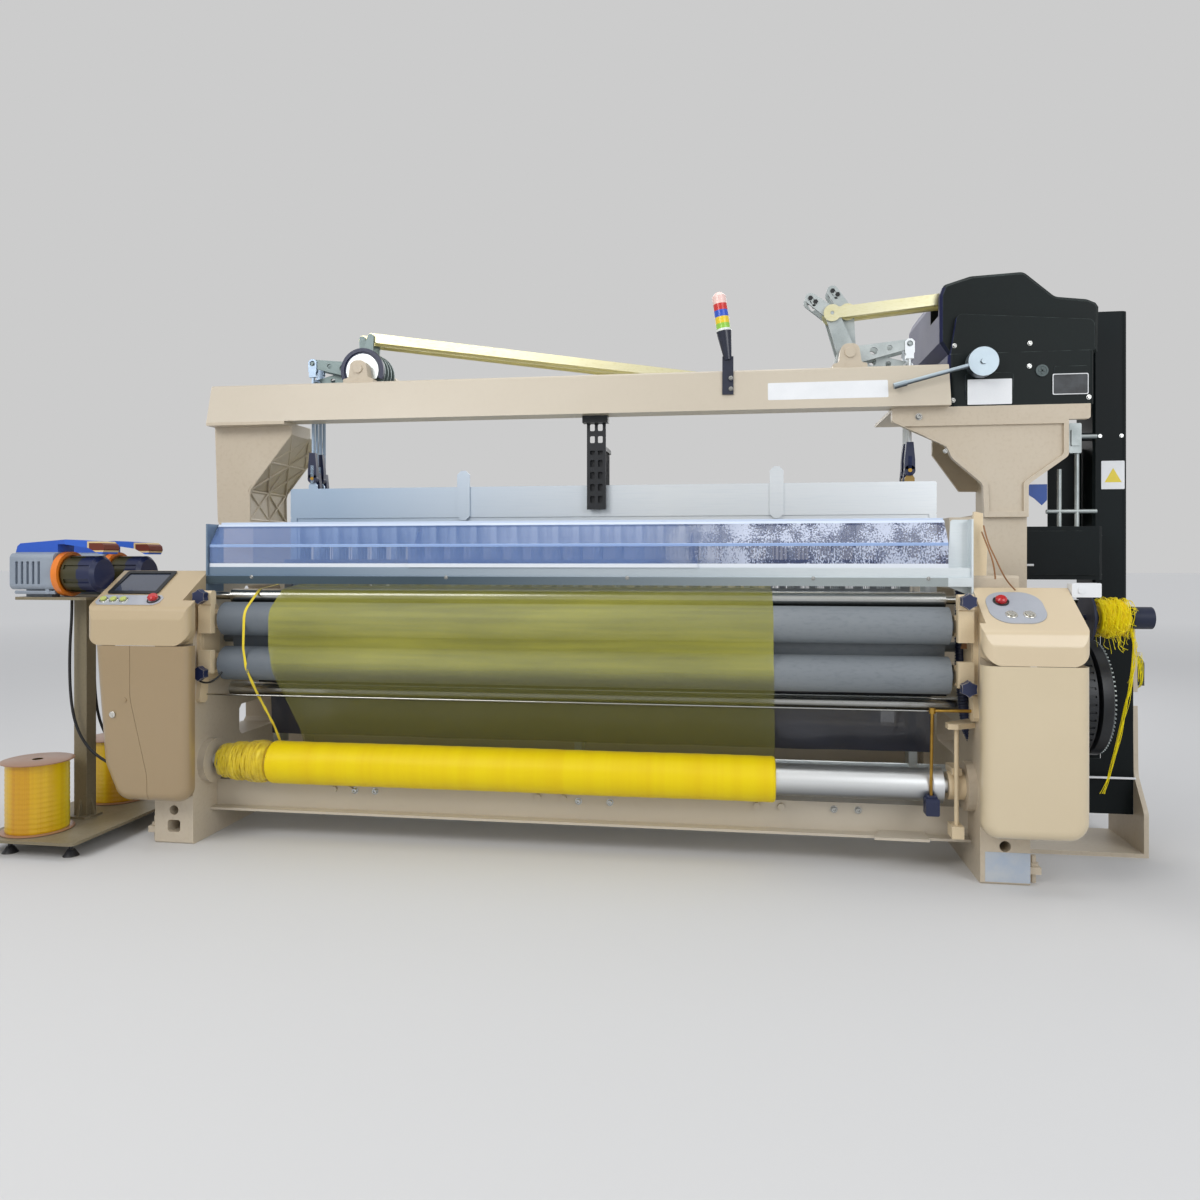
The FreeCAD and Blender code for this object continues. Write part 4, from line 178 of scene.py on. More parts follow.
mottle.links.new(blend_colours(mottle, shade_mask, given["Base"], given["Shade"]), put["Color"])
mottle.links.new(shade_mask, put["Mask"])

# %% Surface grain: a bumpy normal at one scale, stretched into streaks where the tool ran
grain, given, put = shader_group(
    "grain",
    [("Scale", "Float", 300.0), ("Depth", "Float", 0.2), ("Stretch", "Vector", (1, 1, 1)),
     ("Reach", "Float", 0.0005)],
    [("Normal", "Vector")])
bump = node(grain, "Bump", {"Strength": given["Depth"], "Distance": given["Reach"],
                            "Height": noise(grain, place_of(grain, given["Stretch"]),
                                            given["Scale"])})
grain.links.new(bump.outputs["Normal"], put["Normal"])

# %% Worn edges, and on the black paints painted edge highlights: a bevelled normal differs from the true one only close to an edge
edge_wear_and_highlight, given, put = shader_group(
    "edge_wear_and_highlight",
    [("Color", "Color", (0.5, 0.5, 0.5, 1)), ("Worn", "Color", (0.6, 0.6, 0.6, 1)),
     ("Width", "Float", 0.003), ("Amount", "Float", 0.5)],
    [("Color", "Color")])
bevelled = node(edge_wear_and_highlight, "Bevel", {"Radius": given["Width"]}, samples=4).outputs[0]
alike = combine_vectors(edge_wear_and_highlight, "DOT_PRODUCT", bevelled, normal_of(edge_wear_and_highlight), "Value")
patches = noise(edge_wear_and_highlight, place_of(edge_wear_and_highlight), 24.0, 4.0)
wear_and_highlight_mask = times(edge_wear_and_highlight, times(edge_wear_and_highlight, ramp(edge_wear_and_highlight, alike, 0.995, 0.90), given["Amount"]),
                  ramp(edge_wear_and_highlight, patches, 0.38, 0.62))
edge_wear_and_highlight.links.new(blend_colours(edge_wear_and_highlight, wear_and_highlight_mask, given["Color"], given["Worn"]),
                    put["Color"])

# %% Dust that settles on faces that look up, in patches; on the black paints the same lighter tops are painted highlights
dust_and_highlight, given, put = shader_group(
    "dust_and_highlight",
    [("Color", "Color", (0.5, 0.5, 0.5, 1)), ("Dust", "Color", (0.62, 0.6, 0.55, 1)),
     ("Amount", "Float", 0.3)],
    [("Color", "Color")])
upward = ramp(dust_and_highlight, part_of(dust_and_highlight, normal_of(dust_and_highlight), 2), 0.5, 0.95)
dust_and_highlight_mask = times(dust_and_highlight, times(dust_and_highlight, upward, given["Amount"]),
                  ramp(dust_and_highlight, noise(dust_and_highlight, place_of(dust_and_highlight), 9.0, 6.0), 0.35, 0.7))
dust_and_highlight.links.new(blend_colours(dust_and_highlight, dust_and_highlight_mask, given["Color"], given["Dust"]), put["Color"])
print("shader groups", [g.name for g in bpy.data.node_groups])

# %% [markdown]
# Every finish is one recipe: mottled colour, worn edges and dust where the real surface has them,
# and a grain that is either even, as on paint, or drawn out, as on brushed metal. On the black
# paints the lighter worn edges and dusty tops are painted highlights. Roughness follows the same
# mottling, so shine breaks up where the colour does.

# %% The recipe for a finish


def srgb(red, green, blue):
    """A colour as seen on a screen, 0 to 255, turned into the linear light that shaders use."""
    def linear(level):
        level /= 255
        return level / 12.92 if level <= 0.04045 else ((level + 0.055) / 1.055) ** 2.4
    return (linear(red), linear(green), linear(blue), 1.0)


def fill(tree, made, **values):
    """Fill a node's inputs with values or links; underscores in names stand for spaces."""
    for name, value in values.items():
        entry = made.inputs[name.replace("_", " ")]
        if isinstance(value, bpy.types.NodeSocket):
            tree.links.new(value, entry)
        else:
            entry.default_value = value


def use_group(tree, group_tree, **values):
    """Place a node group and fill its inputs."""
    made = tree.nodes.new("ShaderNodeGroup")
    made.node_tree = group_tree
    fill(tree, made, **values)
    return made


def new_material(name):
    """An empty node material with its output: (material, tree, Principled shader)."""
    material = bpy.data.materials.new(name)
    material.use_nodes = True
    tree = material.node_tree
    tree.nodes.clear()
    shader = tree.nodes.new("ShaderNodeBsdfPrincipled")
    output = tree.nodes.new("ShaderNodeOutputMaterial")
    tree.links.new(shader.outputs["BSDF"], output.inputs["Surface"])
    return material, tree, shader


def in_zones(tree, colour, zones):
    """The colour, replaced by another one inside each box."""
    for box in zones:
        inside = use_group(tree, zone, **{k: v for k, v in box.items() if k != "colour"})
        colour = blend_colours(tree, inside.outputs["Mask"], colour, box["colour"])
    return colour


def finish(name, base, shade, rough, rough_spread=0.12, scale=3.0, clouds=0.4, specks=0.15,
           stretch=(1, 1, 1), worn_and_highlight_colour=None, wear_and_highlight_amount=0.5, dust_and_highlight_amount=0.0, dust_and_highlight_colour=srgb(196, 188, 172),
           grain_scale=260.0, grain_depth=0.12, grain_stretch=(1, 1, 1), zones=(), painted_shade_fades=(),
           left_side=None, underside=None, **sockets):
    """A finish from the groups above. Zones are boxes of another colour; painted_shade_fades are
    (start, end, colour, box or None), which blend a darker colour in along the loom as painted
    shade; two colours are painted shade for faces that look left or down, away from the light. On
    the black paints the lighter edges and tops are painted highlights."""
    material, tree, shader = new_material(name)
    tone = use_group(tree, mottle, Base=base, Shade=shade, Scale=scale, Clouds=clouds,
                     Specks=specks, Stretch=stretch)
    colour = in_zones(tree, tone.outputs["Color"], zones)
    for start, end, other, box in painted_shade_fades:
        amount = ramp(tree, part_of(tree, place_of(tree), 0), start, end)
        if box:
            amount = times(tree, amount, use_group(tree, zone, **box).outputs["Mask"])
        colour = blend_colours(tree, amount, colour, other)
    for axis, start, end, other in ((0, -0.5, -0.8, left_side), (2, 0.1, -0.7, underside)):
        if other:
            looks = ramp(tree, part_of(tree, normal_of(tree), axis), start, end)
            colour = blend_colours(tree, looks, colour, other)
    if worn_and_highlight_colour:
        colour = use_group(tree, edge_wear_and_highlight, Color=colour, Worn=worn_and_highlight_colour, Amount=wear_and_highlight_amount).outputs["Color"]
    if dust_and_highlight_amount:
        colour = use_group(tree, dust_and_highlight, Color=colour, Dust=dust_and_highlight_colour,
                           Amount=dust_and_highlight_amount).outputs["Color"]
    surface = use_group(tree, grain, Scale=grain_scale, Depth=grain_depth, Stretch=grain_stretch)
    fill(tree, shader, Base_Color=colour, Normal=surface.outputs["Normal"],
         Roughness=ramp(tree, tone.outputs["Mask"], 0, 1, rough, min(1, rough + rough_spread)),
         **sockets)
    return material


# %% A box-shaped zone of another colour, turned with the piece that it belongs to
zone, given, put = shader_group(
    "zone",
    [("Origin", "Vector", (0, 0, 0)), ("Turn", "Vector", (0, 0, 0)),
     ("Low", "Vector", (-1, -1, -1)), ("High", "Vector", (1, 1, 1))],
    [("Mask", "Float")])
moved = combine_vectors(zone, "SUBTRACT", place_of(zone), given["Origin"])
turned = node(zone, "VectorRotate", {"Vector": moved, "Rotation": given["Turn"]},
              rotation_type="EULER_XYZ").outputs[0]
inward = combine_vectors(zone, "MINIMUM", combine_vectors(zone, "SUBTRACT", turned, given["Low"]),
                         combine_vectors(zone, "SUBTRACT", given["High"], turned))
least = combine(zone, "MINIMUM", part_of(zone, inward, 0), part_of(zone, inward, 1))
least = combine(zone, "MINIMUM", least, part_of(zone, inward, 2))
zone.links.new(combine(zone, "GREATER_THAN", least), put["Mask"])

# %% [markdown]
# The castings, beams and folded covers share one beige enamel. On castings it lies a little
# uneven over the sand-cast skin and is rubbed through at the edges; on the moulded covers it is
# smooth and glossy under a clear coat.

# %% Paints
KNOBS = dict(Origin=at(0, -40, 0), Low=(-1.5, 0.0, 0.5), High=(1.5, 0.0345, 0.95),
             colour=srgb(28, 38, 74))
BEIGE = srgb(200, 188, 168)
BEIGE_SHADE = srgb(180, 164, 140)
cast_paint = finish("cast_beige_enamel", BEIGE, BEIGE_SHADE, 0.42, scale=2.2, specks=0.25,
                    worn_and_highlight_colour=srgb(226, 212, 186), wear_and_highlight_amount=0.7, dust_and_highlight_amount=0.35,
                    grain_scale=170, grain_depth=0.35,
                    zones=[dict(Origin=at(1963, 500, 611), Low=(-0.0225, -0.035, -0.055),
                                High=(0.03, 0.035, 0.055), colour=srgb(44, 50, 44))],
                    Coat_Weight=0.15, Coat_Roughness=0.35)
beam_paint = finish("rolled_beige_enamel", srgb(200, 190, 172), srgb(188, 177, 159), 0.38,
                    scale=1.6, specks=0.1, worn_and_highlight_colour=srgb(236, 226, 208), wear_and_highlight_amount=0.5, dust_and_highlight_amount=0.3,
                    grain_scale=240, grain_depth=0.15, Coat_Weight=0.2, Coat_Roughness=0.3)
GLOSS = dict(rough_spread=0.08, scale=1.8, clouds=0.35, specks=0.03, grain_scale=40,
             grain_depth=0.012, Coat_Weight=0.6, Coat_Roughness=0.08)
# The left covers take a darker, browner copy of the shell colour: painted shade.
shaded_shell_left = finish("moulded_beige_gloss_shaded", srgb(160, 138, 104), srgb(146, 125, 94), 0.3, **GLOSS)
shell_right = finish("moulded_beige_gloss", srgb(214, 198, 166), srgb(202, 184, 152), 0.3, **GLOSS)
bracket_paint = finish("bracket_enamel", srgb(226, 206, 170), srgb(204, 182, 146), 0.42, scale=6,
                       specks=0.2, worn_and_highlight_colour=srgb(244, 230, 204), wear_and_highlight_amount=0.8, grain_scale=220,
                       grain_depth=0.25, zones=[KNOBS], Coat_Weight=0.15)
# On this paint the lighter worn edges and dusty tops are painted highlights, and the navy on faces
# that look left is painted shade.
black_paint = finish("black_textured_paint", srgb(14, 21, 21), srgb(25, 34, 34), 0.48,
                     scale=5.0, specks=0.25, worn_and_highlight_colour=srgb(84, 94, 92), wear_and_highlight_amount=0.8, dust_and_highlight_amount=0.55,
                     dust_and_highlight_colour=srgb(78, 92, 92), left_side=srgb(30, 34, 78),
                     grain_scale=420, grain_depth=0.3, Specular_IOR_Level=0.2)
# On this paint too the lighter worn edges and dusty tops are painted highlights.
guard_paint = finish("dark_green_grey_paint", srgb(8, 15, 17), srgb(22, 31, 33), 0.45,
                     scale=3.0, specks=0.1, worn_and_highlight_colour=srgb(86, 92, 90), wear_and_highlight_amount=0.4, dust_and_highlight_amount=0.3,
                     dust_and_highlight_colour=srgb(78, 90, 88), grain_scale=380, grain_depth=0.12,
                     Specular_IOR_Level=0.16)
brown_paint = finish("brown_primer", srgb(150, 104, 62), srgb(120, 80, 46), 0.5, scale=12,
                     clouds=0.5, specks=0.3, worn_and_highlight_colour=srgb(176, 140, 96), grain_depth=0.25)
stand_paint = finish("grey_beige_paint", srgb(130, 120, 96), srgb(108, 98, 76), 0.45,
                     specks=0.3, worn_and_highlight_colour=srgb(168, 160, 140), wear_and_highlight_amount=0.6, dust_and_highlight_amount=0.2, grain_depth=0.25,
                     zones=[dict(Origin=at(0, 0, 0), Low=(-2.1, -0.4, -0.01),
                                 High=(-1.5, 0.6, 0.041), colour=srgb(26, 28, 34))])

# %% Metals
galvanised = finish("drawn_aluminium", srgb(206, 213, 215), srgb(176, 184, 188), 0.34, scale=6.0,
                    clouds=0.35, specks=0.2, stretch=(0.05, 1, 1), grain_scale=900,
                    grain_depth=0.16, grain_stretch=(0.02, 1, 1), Metallic=1.0)
# Faces of the ground bars and of the tube that look down take a darker colour: painted shade.
bright_bar = finish("ground_steel", srgb(210, 212, 210), srgb(150, 146, 136), 0.2, scale=9.0,
                    underside=srgb(92, 92, 88),
                    clouds=0.5, specks=0.2, stretch=(0.08, 1, 1), grain_scale=1200,
                    grain_depth=0.1, grain_stretch=(1, 0.05, 0.05), Metallic=1.0)
silver_tube = finish("anodised_tube", srgb(236, 238, 238), srgb(216, 219, 222), 0.36, scale=4.0,
                     underside=srgb(150, 154, 158),
                     clouds=0.25, specks=0.1, grain_scale=1000, grain_depth=0.08,
                     grain_stretch=(1, 0.05, 0.05), Metallic=1.0)
# Left of the middle the castings fade to a darker grey, and faces that look down are darker: painted
# shade.
cast_silver = finish("bright_casting", srgb(200, 207, 206), srgb(150, 160, 160), 0.42, scale=12.0,
                     clouds=0.6, specks=0.3, grain_scale=320, grain_depth=0.35, Metallic=0.55,
                     painted_shade_fades=[(0.3, -0.3, srgb(126, 141, 141), None)], underside=srgb(96, 106, 108))
zinc_yellow = finish("yellow_zinc_strip", srgb(240, 236, 204), srgb(214, 206, 150), 0.33,
                     scale=5.0, clouds=0.6, specks=0.3, stretch=(0.3, 1, 1), grain_scale=700,
                     grain_depth=0.12, grain_stretch=(0.03, 1, 1), Metallic=1.0)
reed_steel = finish("reed_steel", srgb(168, 172, 176), srgb(120, 124, 130), 0.35, scale=40.0,
                    stretch=(1, 1, 0.02), grain_scale=1500, grain_depth=0.3,
                    grain_stretch=(1, 1, 0.02), Metallic=1.0)
brass = finish("worn_brass", srgb(190, 152, 72), srgb(138, 104, 50), 0.38, scale=30.0,
               clouds=0.6, grain_scale=500, Metallic=1.0)
dark_steel = finish("oiled_steel", srgb(66, 68, 70), srgb(44, 42, 40), 0.4, scale=20.0,
                    clouds=0.6, specks=0.4, grain_scale=500, grain_depth=0.2, Metallic=0.8)
print("metals and paints", len(bpy.data.materials))

# %% Rubber, plastics and cable sheath
# Towards the left end the rubber fades darker: painted shade.
roller_rubber = finish("grey_roller_rubber", srgb(132, 138, 142), srgb(104, 111, 118), 0.55,
                       scale=3.0, clouds=0.5, specks=0.3, stretch=(0.35, 1, 1),
                       grain_scale=600, grain_depth=0.35,
                       painted_shade_fades=[(-0.7, -1.2, srgb(96, 104, 112), None)])
black_plastic = finish("black_moulding", srgb(26, 29, 34), srgb(40, 43, 48), 0.38, scale=14,
                       grain_scale=500, grain_depth=0.2)
navy_plastic = finish("navy_moulding", srgb(28, 36, 66), srgb(42, 50, 84), 0.36, scale=14,
                      grain_scale=500, grain_depth=0.15)
white_plastic = finish("white_moulding", srgb(232, 234, 236), srgb(212, 215, 218), 0.4, scale=8,
                       grain_scale=300, grain_depth=0.1)
red_gloss = finish("red_button", srgb(196, 30, 36), srgb(168, 22, 30), 0.22, scale=20,
                   grain_depth=0.03, Coat_Weight=0.5)
green_gloss = finish("yellow_green_button", srgb(196, 206, 118), srgb(172, 184, 96), 0.25,
                     scale=30, grain_depth=0.03, Coat_Weight=0.4)
steel_button = finish("bright_button", srgb(226, 224, 216), srgb(200, 198, 190), 0.22, scale=30,
                      grain_scale=900, grain_depth=0.05, Metallic=0.9)
yarn_paint = finish("warning_yellow", srgb(228, 206, 60), srgb(206, 184, 44), 0.4, scale=20)
cap_grey = finish("grey_green_cap", srgb(74, 88, 88), srgb(52, 64, 64), 0.4, scale=30)
orange_gloss = finish("orange_disc", srgb(232, 128, 34), srgb(206, 104, 24), 0.3, scale=18,
                      grain_depth=0.04, Coat_Weight=0.3)
cable_sheath = finish("cable_sheath", srgb(24, 25, 28), srgb(38, 39, 42), 0.5, scale=60,
                      grain_scale=900, grain_depth=0.1)

# %% [markdown]
# The splash shields are thin clear sheets with a cool tint. Real thin plastic bends light hardly at
# all, so the sheet is part clear and part glossy instead of a solid block of glass: Alpha lets the
# healds show through, and the tint, the coat and a few dried water marks make it readable.

# %% Water on a clear sheet: specks that gather where the mist is thick, from one X on
drops, given, put = shader_group(
    "drops",
    [("Scale", "Float", 210.0), ("Start", "Float", 0.0)],
    [("Mask", "Float"), ("Reach", "Float")])
specks = noise(drops, place_of(drops, (1.0, 1.0, 0.6)), given["Scale"])
mist = noise(drops, place_of(drops, (1.0, 1.0, 0.5)), 11.0)
wetness = combine(drops, "ADD", specks, combine(drops, "MULTIPLY", mist, 1.1))
from_here = ramp(drops, part_of(drops, place_of(drops), 0), given["Start"],
                 combine(drops, "ADD", given["Start"], 0.35))
drops.links.new(times(drops, ramp(drops, wetness, 1.03, 1.09), from_here), put["Mask"])
drops.links.new(from_here, put["Reach"])

# %% Clear sheet for the shields


def clear_sheet(name, tint, marks, alpha, wet_from=9.0, rough=0.08, edges=()):
    """See-through plastic: a cool tint, faint clouds, drops and a darker blue from one X on, and
    opaque bright bands at given heights.
    """
    material, tree, shader = new_material(name)
    tone = use_group(tree, mottle, Base=tint, Shade=marks, Scale=1.4, Clouds=0.5, Specks=0.0,
                     Stretch=(1, 1, 4))
    wet = use_group(tree, drops, Start=wet_from)
    colour = blend_colours(tree, wet.outputs["Reach"], tone.outputs["Color"], srgb(58, 74, 122))
    colour = blend_colours(tree, wet.outputs["Mask"], colour, srgb(196, 205, 226))
    cover = combine(tree, "MAXIMUM", ramp(tree, tone.outputs["Mask"], 0, 1, alpha, alpha + 0.12),
                    times(tree, wet.outputs["Mask"], 0.85), use_clamp=True)
    for low, high, shade in edges:
        inside = use_group(tree, zone, Origin=at(0, 0, 0), Low=(-2, -1, low / 1000),
                           High=(2, 1, high / 1000)).outputs["Mask"]
        colour = blend_colours(tree, inside, colour, shade)
        cover = combine(tree, "MAXIMUM", cover, inside)
    fill(tree, shader, Base_Color=colour, Alpha=cover, Roughness=rough, Coat_Weight=0.5,
         Coat_Roughness=0.04)
    return material


# The bright band along the sheet's bend, 1046 to 1056 mm up, is a painted highlight.
shield_sheet = clear_sheet(
    "tinted_clear_sheet", srgb(96, 128, 188), srgb(150, 174, 218), 0.4, wet_from=0.25,
    edges=[(974, 988, srgb(226, 232, 240)), (1046, 1056, srgb(150, 176, 220)),
           (1122, 1140, srgb(206, 218, 236))])

# %% [markdown]
# Filament yarn is smooth and bright. Where it is wound, fine turns lie side by side, so light
# breaks into thin bands across the roll. A wave along the roll's axis gives the turns, a slower
# noise makes them uneven, and sheen gives the soft glow of many fibres.

# %% Wound yarn, turning about a chosen axis


def from_middle(tree, count):
    """How far a count is from the middle of its own whole step: 0 there, 0.5 at the step's ends."""
    within = combine(tree, "FLOORED_MODULO", count, 1.0)
    return combine(tree, "ABSOLUTE", combine(tree, "SUBTRACT", within, 0.5))


yarn_turns, given, put = shader_group(
    "yarn_turns",
    [("Axis", "Vector", (1, 0, 0)), ("Pitch", "Float", 0.0012), ("Depth", "Float", 0.5),
     ("Bright", "Color", (0.9, 0.75, 0.05, 1)), ("Deep", "Color", (0.7, 0.5, 0.02, 1)),
     ("Slack", "Float", 0.3)],
    [("Color", "Color"), ("Normal", "Vector"), ("Mask", "Float")])
where = place_of(yarn_turns)
along = combine_vectors(yarn_turns, "DOT_PRODUCT", where, given["Axis"], "Value")
turn_count = combine(yarn_turns, "DIVIDE", along, given["Pitch"])
drift = combine(yarn_turns, "MULTIPLY", noise(yarn_turns, where, 26.0), given["Slack"])
height = from_middle(yarn_turns, combine(yarn_turns, "ADD", turn_count, drift))
bands = node(yarn_turns, "TexNoise", {"W": combine(yarn_turns, "MULTIPLY", turn_count, 0.02),
                                      "Scale": 1.0, "Detail": 5.0}, noise_dimensions="1D")
band_mask = ramp(yarn_turns, bands.outputs["Fac"], 0.1, 0.6)
yarn_turns.links.new(blend_colours(yarn_turns, band_mask, given["Deep"], given["Bright"]),
                     put["Color"])
turn_bump = node(yarn_turns, "Bump", {"Strength": given["Depth"], "Distance": 0.0004,
                                      "Height": height})
yarn_turns.links.new(turn_bump.outputs["Normal"], put["Normal"])
yarn_turns.links.new(band_mask, put["Mask"])


def wound_yarn(name, bright, deep, axis, pitch, rough=0.42, zones=()):
    """Yarn wound in turns about an axis, with zones of another colour for what carries it."""
    material, tree, shader = new_material(name)
    turns = use_group(tree, yarn_turns, Axis=axis, Pitch=pitch, Bright=bright, Deep=deep)
    fill(tree, shader, Base_Color=in_zones(tree, turns.outputs["Color"], zones),
         Normal=turns.outputs["Normal"], Sheen_Weight=0.06, Specular_IOR_Level=0.25,
         Roughness=ramp(tree, turns.outputs["Mask"], 0, 1, rough + 0.1, rough))
    return material


YARN = srgb(240, 212, 0)
YARN_DEEP = srgb(232, 194, 0)
roll_yarn = wound_yarn("cloth_roll_yarn", YARN, YARN_DEEP, (1, 0, 0), 0.0016)
waste_yarn = wound_yarn("waste_yarn", srgb(250, 234, 16), srgb(236, 206, 8), (1, 0.4, 0.2), 0.0016)
loose_yarn = finish("loose_yarn", srgb(240, 216, 40), srgb(214, 186, 20), 0.45, scale=40,
                    clouds=0.6, grain_scale=900, Sheen_Weight=0.4)

# %% [markdown]
# The cloth is an open filament fabric: you look through it at the rollers. Its weave is drawn from
# the sheet's own UV map, measured in metres, so the threads keep their size and run with the cloth
# however it bends. Between the threads Alpha drops, which makes the veil.

# %% Woven veil
weave, given, put = shader_group(
    "open_weave",
    [("Pitch", "Float", 0.0022)],
    [("Threads", "Float"), ("Shade", "Float")])
uv = node(weave, "UVMap").outputs["UV"]
threads = [ramp(weave, from_middle(weave, combine(weave, "DIVIDE", part_of(weave, uv, axis),
                                                  given["Pitch"])), 0.5, 0.12) for axis in (0, 1)]
woven = combine(weave, "MAXIMUM", *threads)
slubs = noise(weave, combine_vectors(weave, "MULTIPLY", uv, (2.0, 60.0, 1.0)), 1.0, 4.0)
# Broad streaks that stand for the cloth's folds: painted shade.
folds = noise(weave, combine_vectors(weave, "MULTIPLY", uv, (1.2, 3.5, 1.0)), 1.6, 3.0)
weave.links.new(woven, put["Threads"])
weave.links.new(combine(weave, "ADD", ramp(weave, slubs, 0.35, 0.65, 0, 0.3),
                        ramp(weave, folds, 0.3, 0.7, 0, 0.7)), put["Shade"])


def veil(name, bright, deep, cover_low, cover_high, pitch=0.0022, hangs_from=9.0, over_bars=0.0):
    """Open cloth: threads with gaps between them and streaky colour, whose broad streaks are painted
    shade of folds. Along the sheet's length in metres, it is thinner up to over_bars and darker from
    hangs_from on, as painted shade where the cloth hangs free."""
    material, tree, shader = new_material(name)
    cloth = use_group(tree, weave, Pitch=pitch)
    run = part_of(tree, node(tree, "UVMap").outputs["UV"], 1)
    free = ramp(tree, run, hangs_from, hangs_from + 0.05)
    colour = blend_colours(tree, cloth.outputs["Shade"], deep, bright)
    shaded = tuple(c * 0.5 for c in deep[:3]) + (1.0,)
    cover = ramp(tree, cloth.outputs["Threads"], 0, 1, cover_low, cover_high)
    drawn = ramp(tree, run, over_bars, over_bars + 0.02, 0.72, 1.0)
    relief = node(tree, "Bump", {"Strength": 0.35, "Distance": 0.0004,
                                 "Height": cloth.outputs["Threads"]})
    fill(tree, shader, Base_Color=blend_colours(tree, free, colour, shaded),
         Alpha=combine(tree, "MULTIPLY", cover, drawn), Normal=relief.outputs["Normal"],
         Roughness=0.6, Sheen_Weight=0.4)
    return material


warp_veil = veil("warp_threads", srgb(214, 204, 70), srgb(180, 168, 40), 0.30, 0.75, pitch=0.003)
print("materials", len(bpy.data.materials))

# %% [markdown]
# Two control leads leave the plate under the weft feeders, hang beside the post, sweep along above
# the floor and go into the machine behind the left cover. A lead is one smooth curve with weight:
# the route's points are the control points of a NURBS spline, which rounds every turn by itself.

# %% The leads' routes, in millimetres
LEAD_RADIUS = 5
FRONT_LEAD = [
    (-1806, 22, 858), (-1806, 22, 800), (-1811, 18, 700), (-1812, 17, 585), (-1806, 19, 475),
    (-1788, 23, 390), (-1748, 27, 322), (-1690, 33, 276), (-1622, 46, 244), (-1552, 64, 216),
    (-1506, 73, 198), (-1463, 73, 198)]
REAR_LEAD = [
    (-1800, 128, 858), (-1800, 128, 800), (-1804, 131, 700), (-1803, 132, 590), (-1796, 131, 480),
    (-1778, 130, 395), (-1740, 130, 325), (-1684, 132, 272), (-1616, 136, 236), (-1550, 138, 210),
    (-1506, 138, 196), (-1463, 138, 196)]

# %% Curves with a round section, and the mesh that an object is drawn as


def curve_object(name, routes, radius, sides=4, order=3, resolution=10, caps=True):
    """A curve object; its radius and the routes' control points are in millimetres."""
    data = bpy.data.curves.new(name, "CURVE")
    data.dimensions = "3D"
    data.resolution_u = resolution
    data.bevel_depth = radius / 1000
    data.bevel_resolution = sides
    data.use_fill_caps = caps
    for route in routes:
        spline = data.splines.new("NURBS")
        spline.points.add(len(route) - 1)
        for control, place in zip(spline.points, route):
            control.co = (*at(*place), 1)
        spline.order_u = order
        spline.use_endpoint_u = True
    return in_scene(name, data)


def drawn_mesh(made):
    """Corners and faces of an object as it is drawn; the object itself is then removed."""
    depsgraph = bpy.context.evaluated_depsgraph_get()
    mesh = bpy.data.meshes.new_from_object(made.evaluated_get(depsgraph))
    drawn = ([v.co.copy() for v in mesh.vertices], [tuple(p.vertices) for p in mesh.polygons])
    bpy.data.objects.remove(made)
    bpy.data.meshes.remove(mesh)
    return drawn


# %% A free cord along its route, riding on the frame


def free_cord(name, route, radius, material):
    """A cord that rides on the frame and leaves the machine at the route's first point."""
    lead = curve_object(name, [route], radius)
    lead.data.materials.append(material)
    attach(lead, "frame")
    line = drawn_mesh(curve_object("line", [route], 0))[0]
    return lead


for name, route in (("front_feeder_lead", FRONT_LEAD), ("rear_feeder_lead", REAR_LEAD)):
    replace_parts(free_cord(name, route, LEAD_RADIUS, cable_sheath), "feeder_cables")

# %% [markdown]
# The CAD nodes already have the right shapes, so each only needs its finish. Where one node carries
# parts of different colours, such as the lamps of the signal tower, box zones paint them.

# %% Zones of colour on the signal tower
TOWER_FOOT = at(543, 375.6, 1726)
TOWER_TURN = (0, math.radians(8.0), 0)
LAMP_COLOURS = (srgb(232, 236, 232), srgb(150, 206, 70), srgb(238, 206, 40), srgb(40, 84, 196),
                srgb(206, 44, 40), srgb(244, 208, 200))


def tower_zone(low, high, colour):
    """A slice of the tilted lamp stack, between two heights above its foot, in millimetres."""
    return dict(Origin=TOWER_FOOT, Turn=TOWER_TURN, Low=(-0.03, -0.03, low / 1000),
                High=(0.03, 0.03, high / 1000), colour=colour)


lamp_slices = [(104, 113), (113, 132), (132, 156), (156, 180), (180, 204), (204, 260)]
lamp_stack = finish("lamp_stack", srgb(24, 30, 48), srgb(40, 46, 66), 0.28, scale=20,
                    grain_depth=0.04, Coat_Weight=0.3,
                    zones=[tower_zone(low, high, colour)
                           for (low, high), colour in zip(lamp_slices, LAMP_COLOURS)])

# %% Zones on the weft feeders, their yarn packages and the waste reel
FEEDERS = [at(0, y, 950) for y in (0, 250)]
FEEDER_COLOURS = [  # low and high corner beside the drum's axis, colour
    ((-2045, -70, 78), (-1786, 70, 140), srgb(40, 88, 190)),
    ((-1786, -60, 66), (-1600, 60, 140), srgb(44, 96, 200)),
    ((-1786, -80, -82), (-1722, 80, 66), srgb(58, 56, 30)),
    ((-1722, -80, -82), (-1600, 80, 66), srgb(30, 38, 72)),
    ((-1697, -60, 78), (-1600, 60, 116), srgb(214, 190, 140)),
    ((-1690, -60, 84), (-1600, 60, 110), srgb(104, 40, 22)),
]
feeder_zones = [dict(Origin=centre, Low=Vector(low) / 1000, High=Vector(high) / 1000,
                     colour=colour)
                for centre in FEEDERS for low, high, colour in FEEDER_COLOURS]
feeder_paint = finish("feeder_housing", srgb(150, 160, 172), srgb(122, 132, 146), 0.36, scale=9,
                      grain_scale=300, grain_depth=0.2, zones=feeder_zones)
CARDBOARD = srgb(158, 118, 92)
package_zones = [dict(Origin=at(-1842, y, 60), Low=(-0.12, -0.12, low), High=(0.12, 0.12, high),
                      colour=CARDBOARD) for y in (-98, 315)
                 for low, high in ((-0.001, 0.0056), (0.2398, 0.246))]
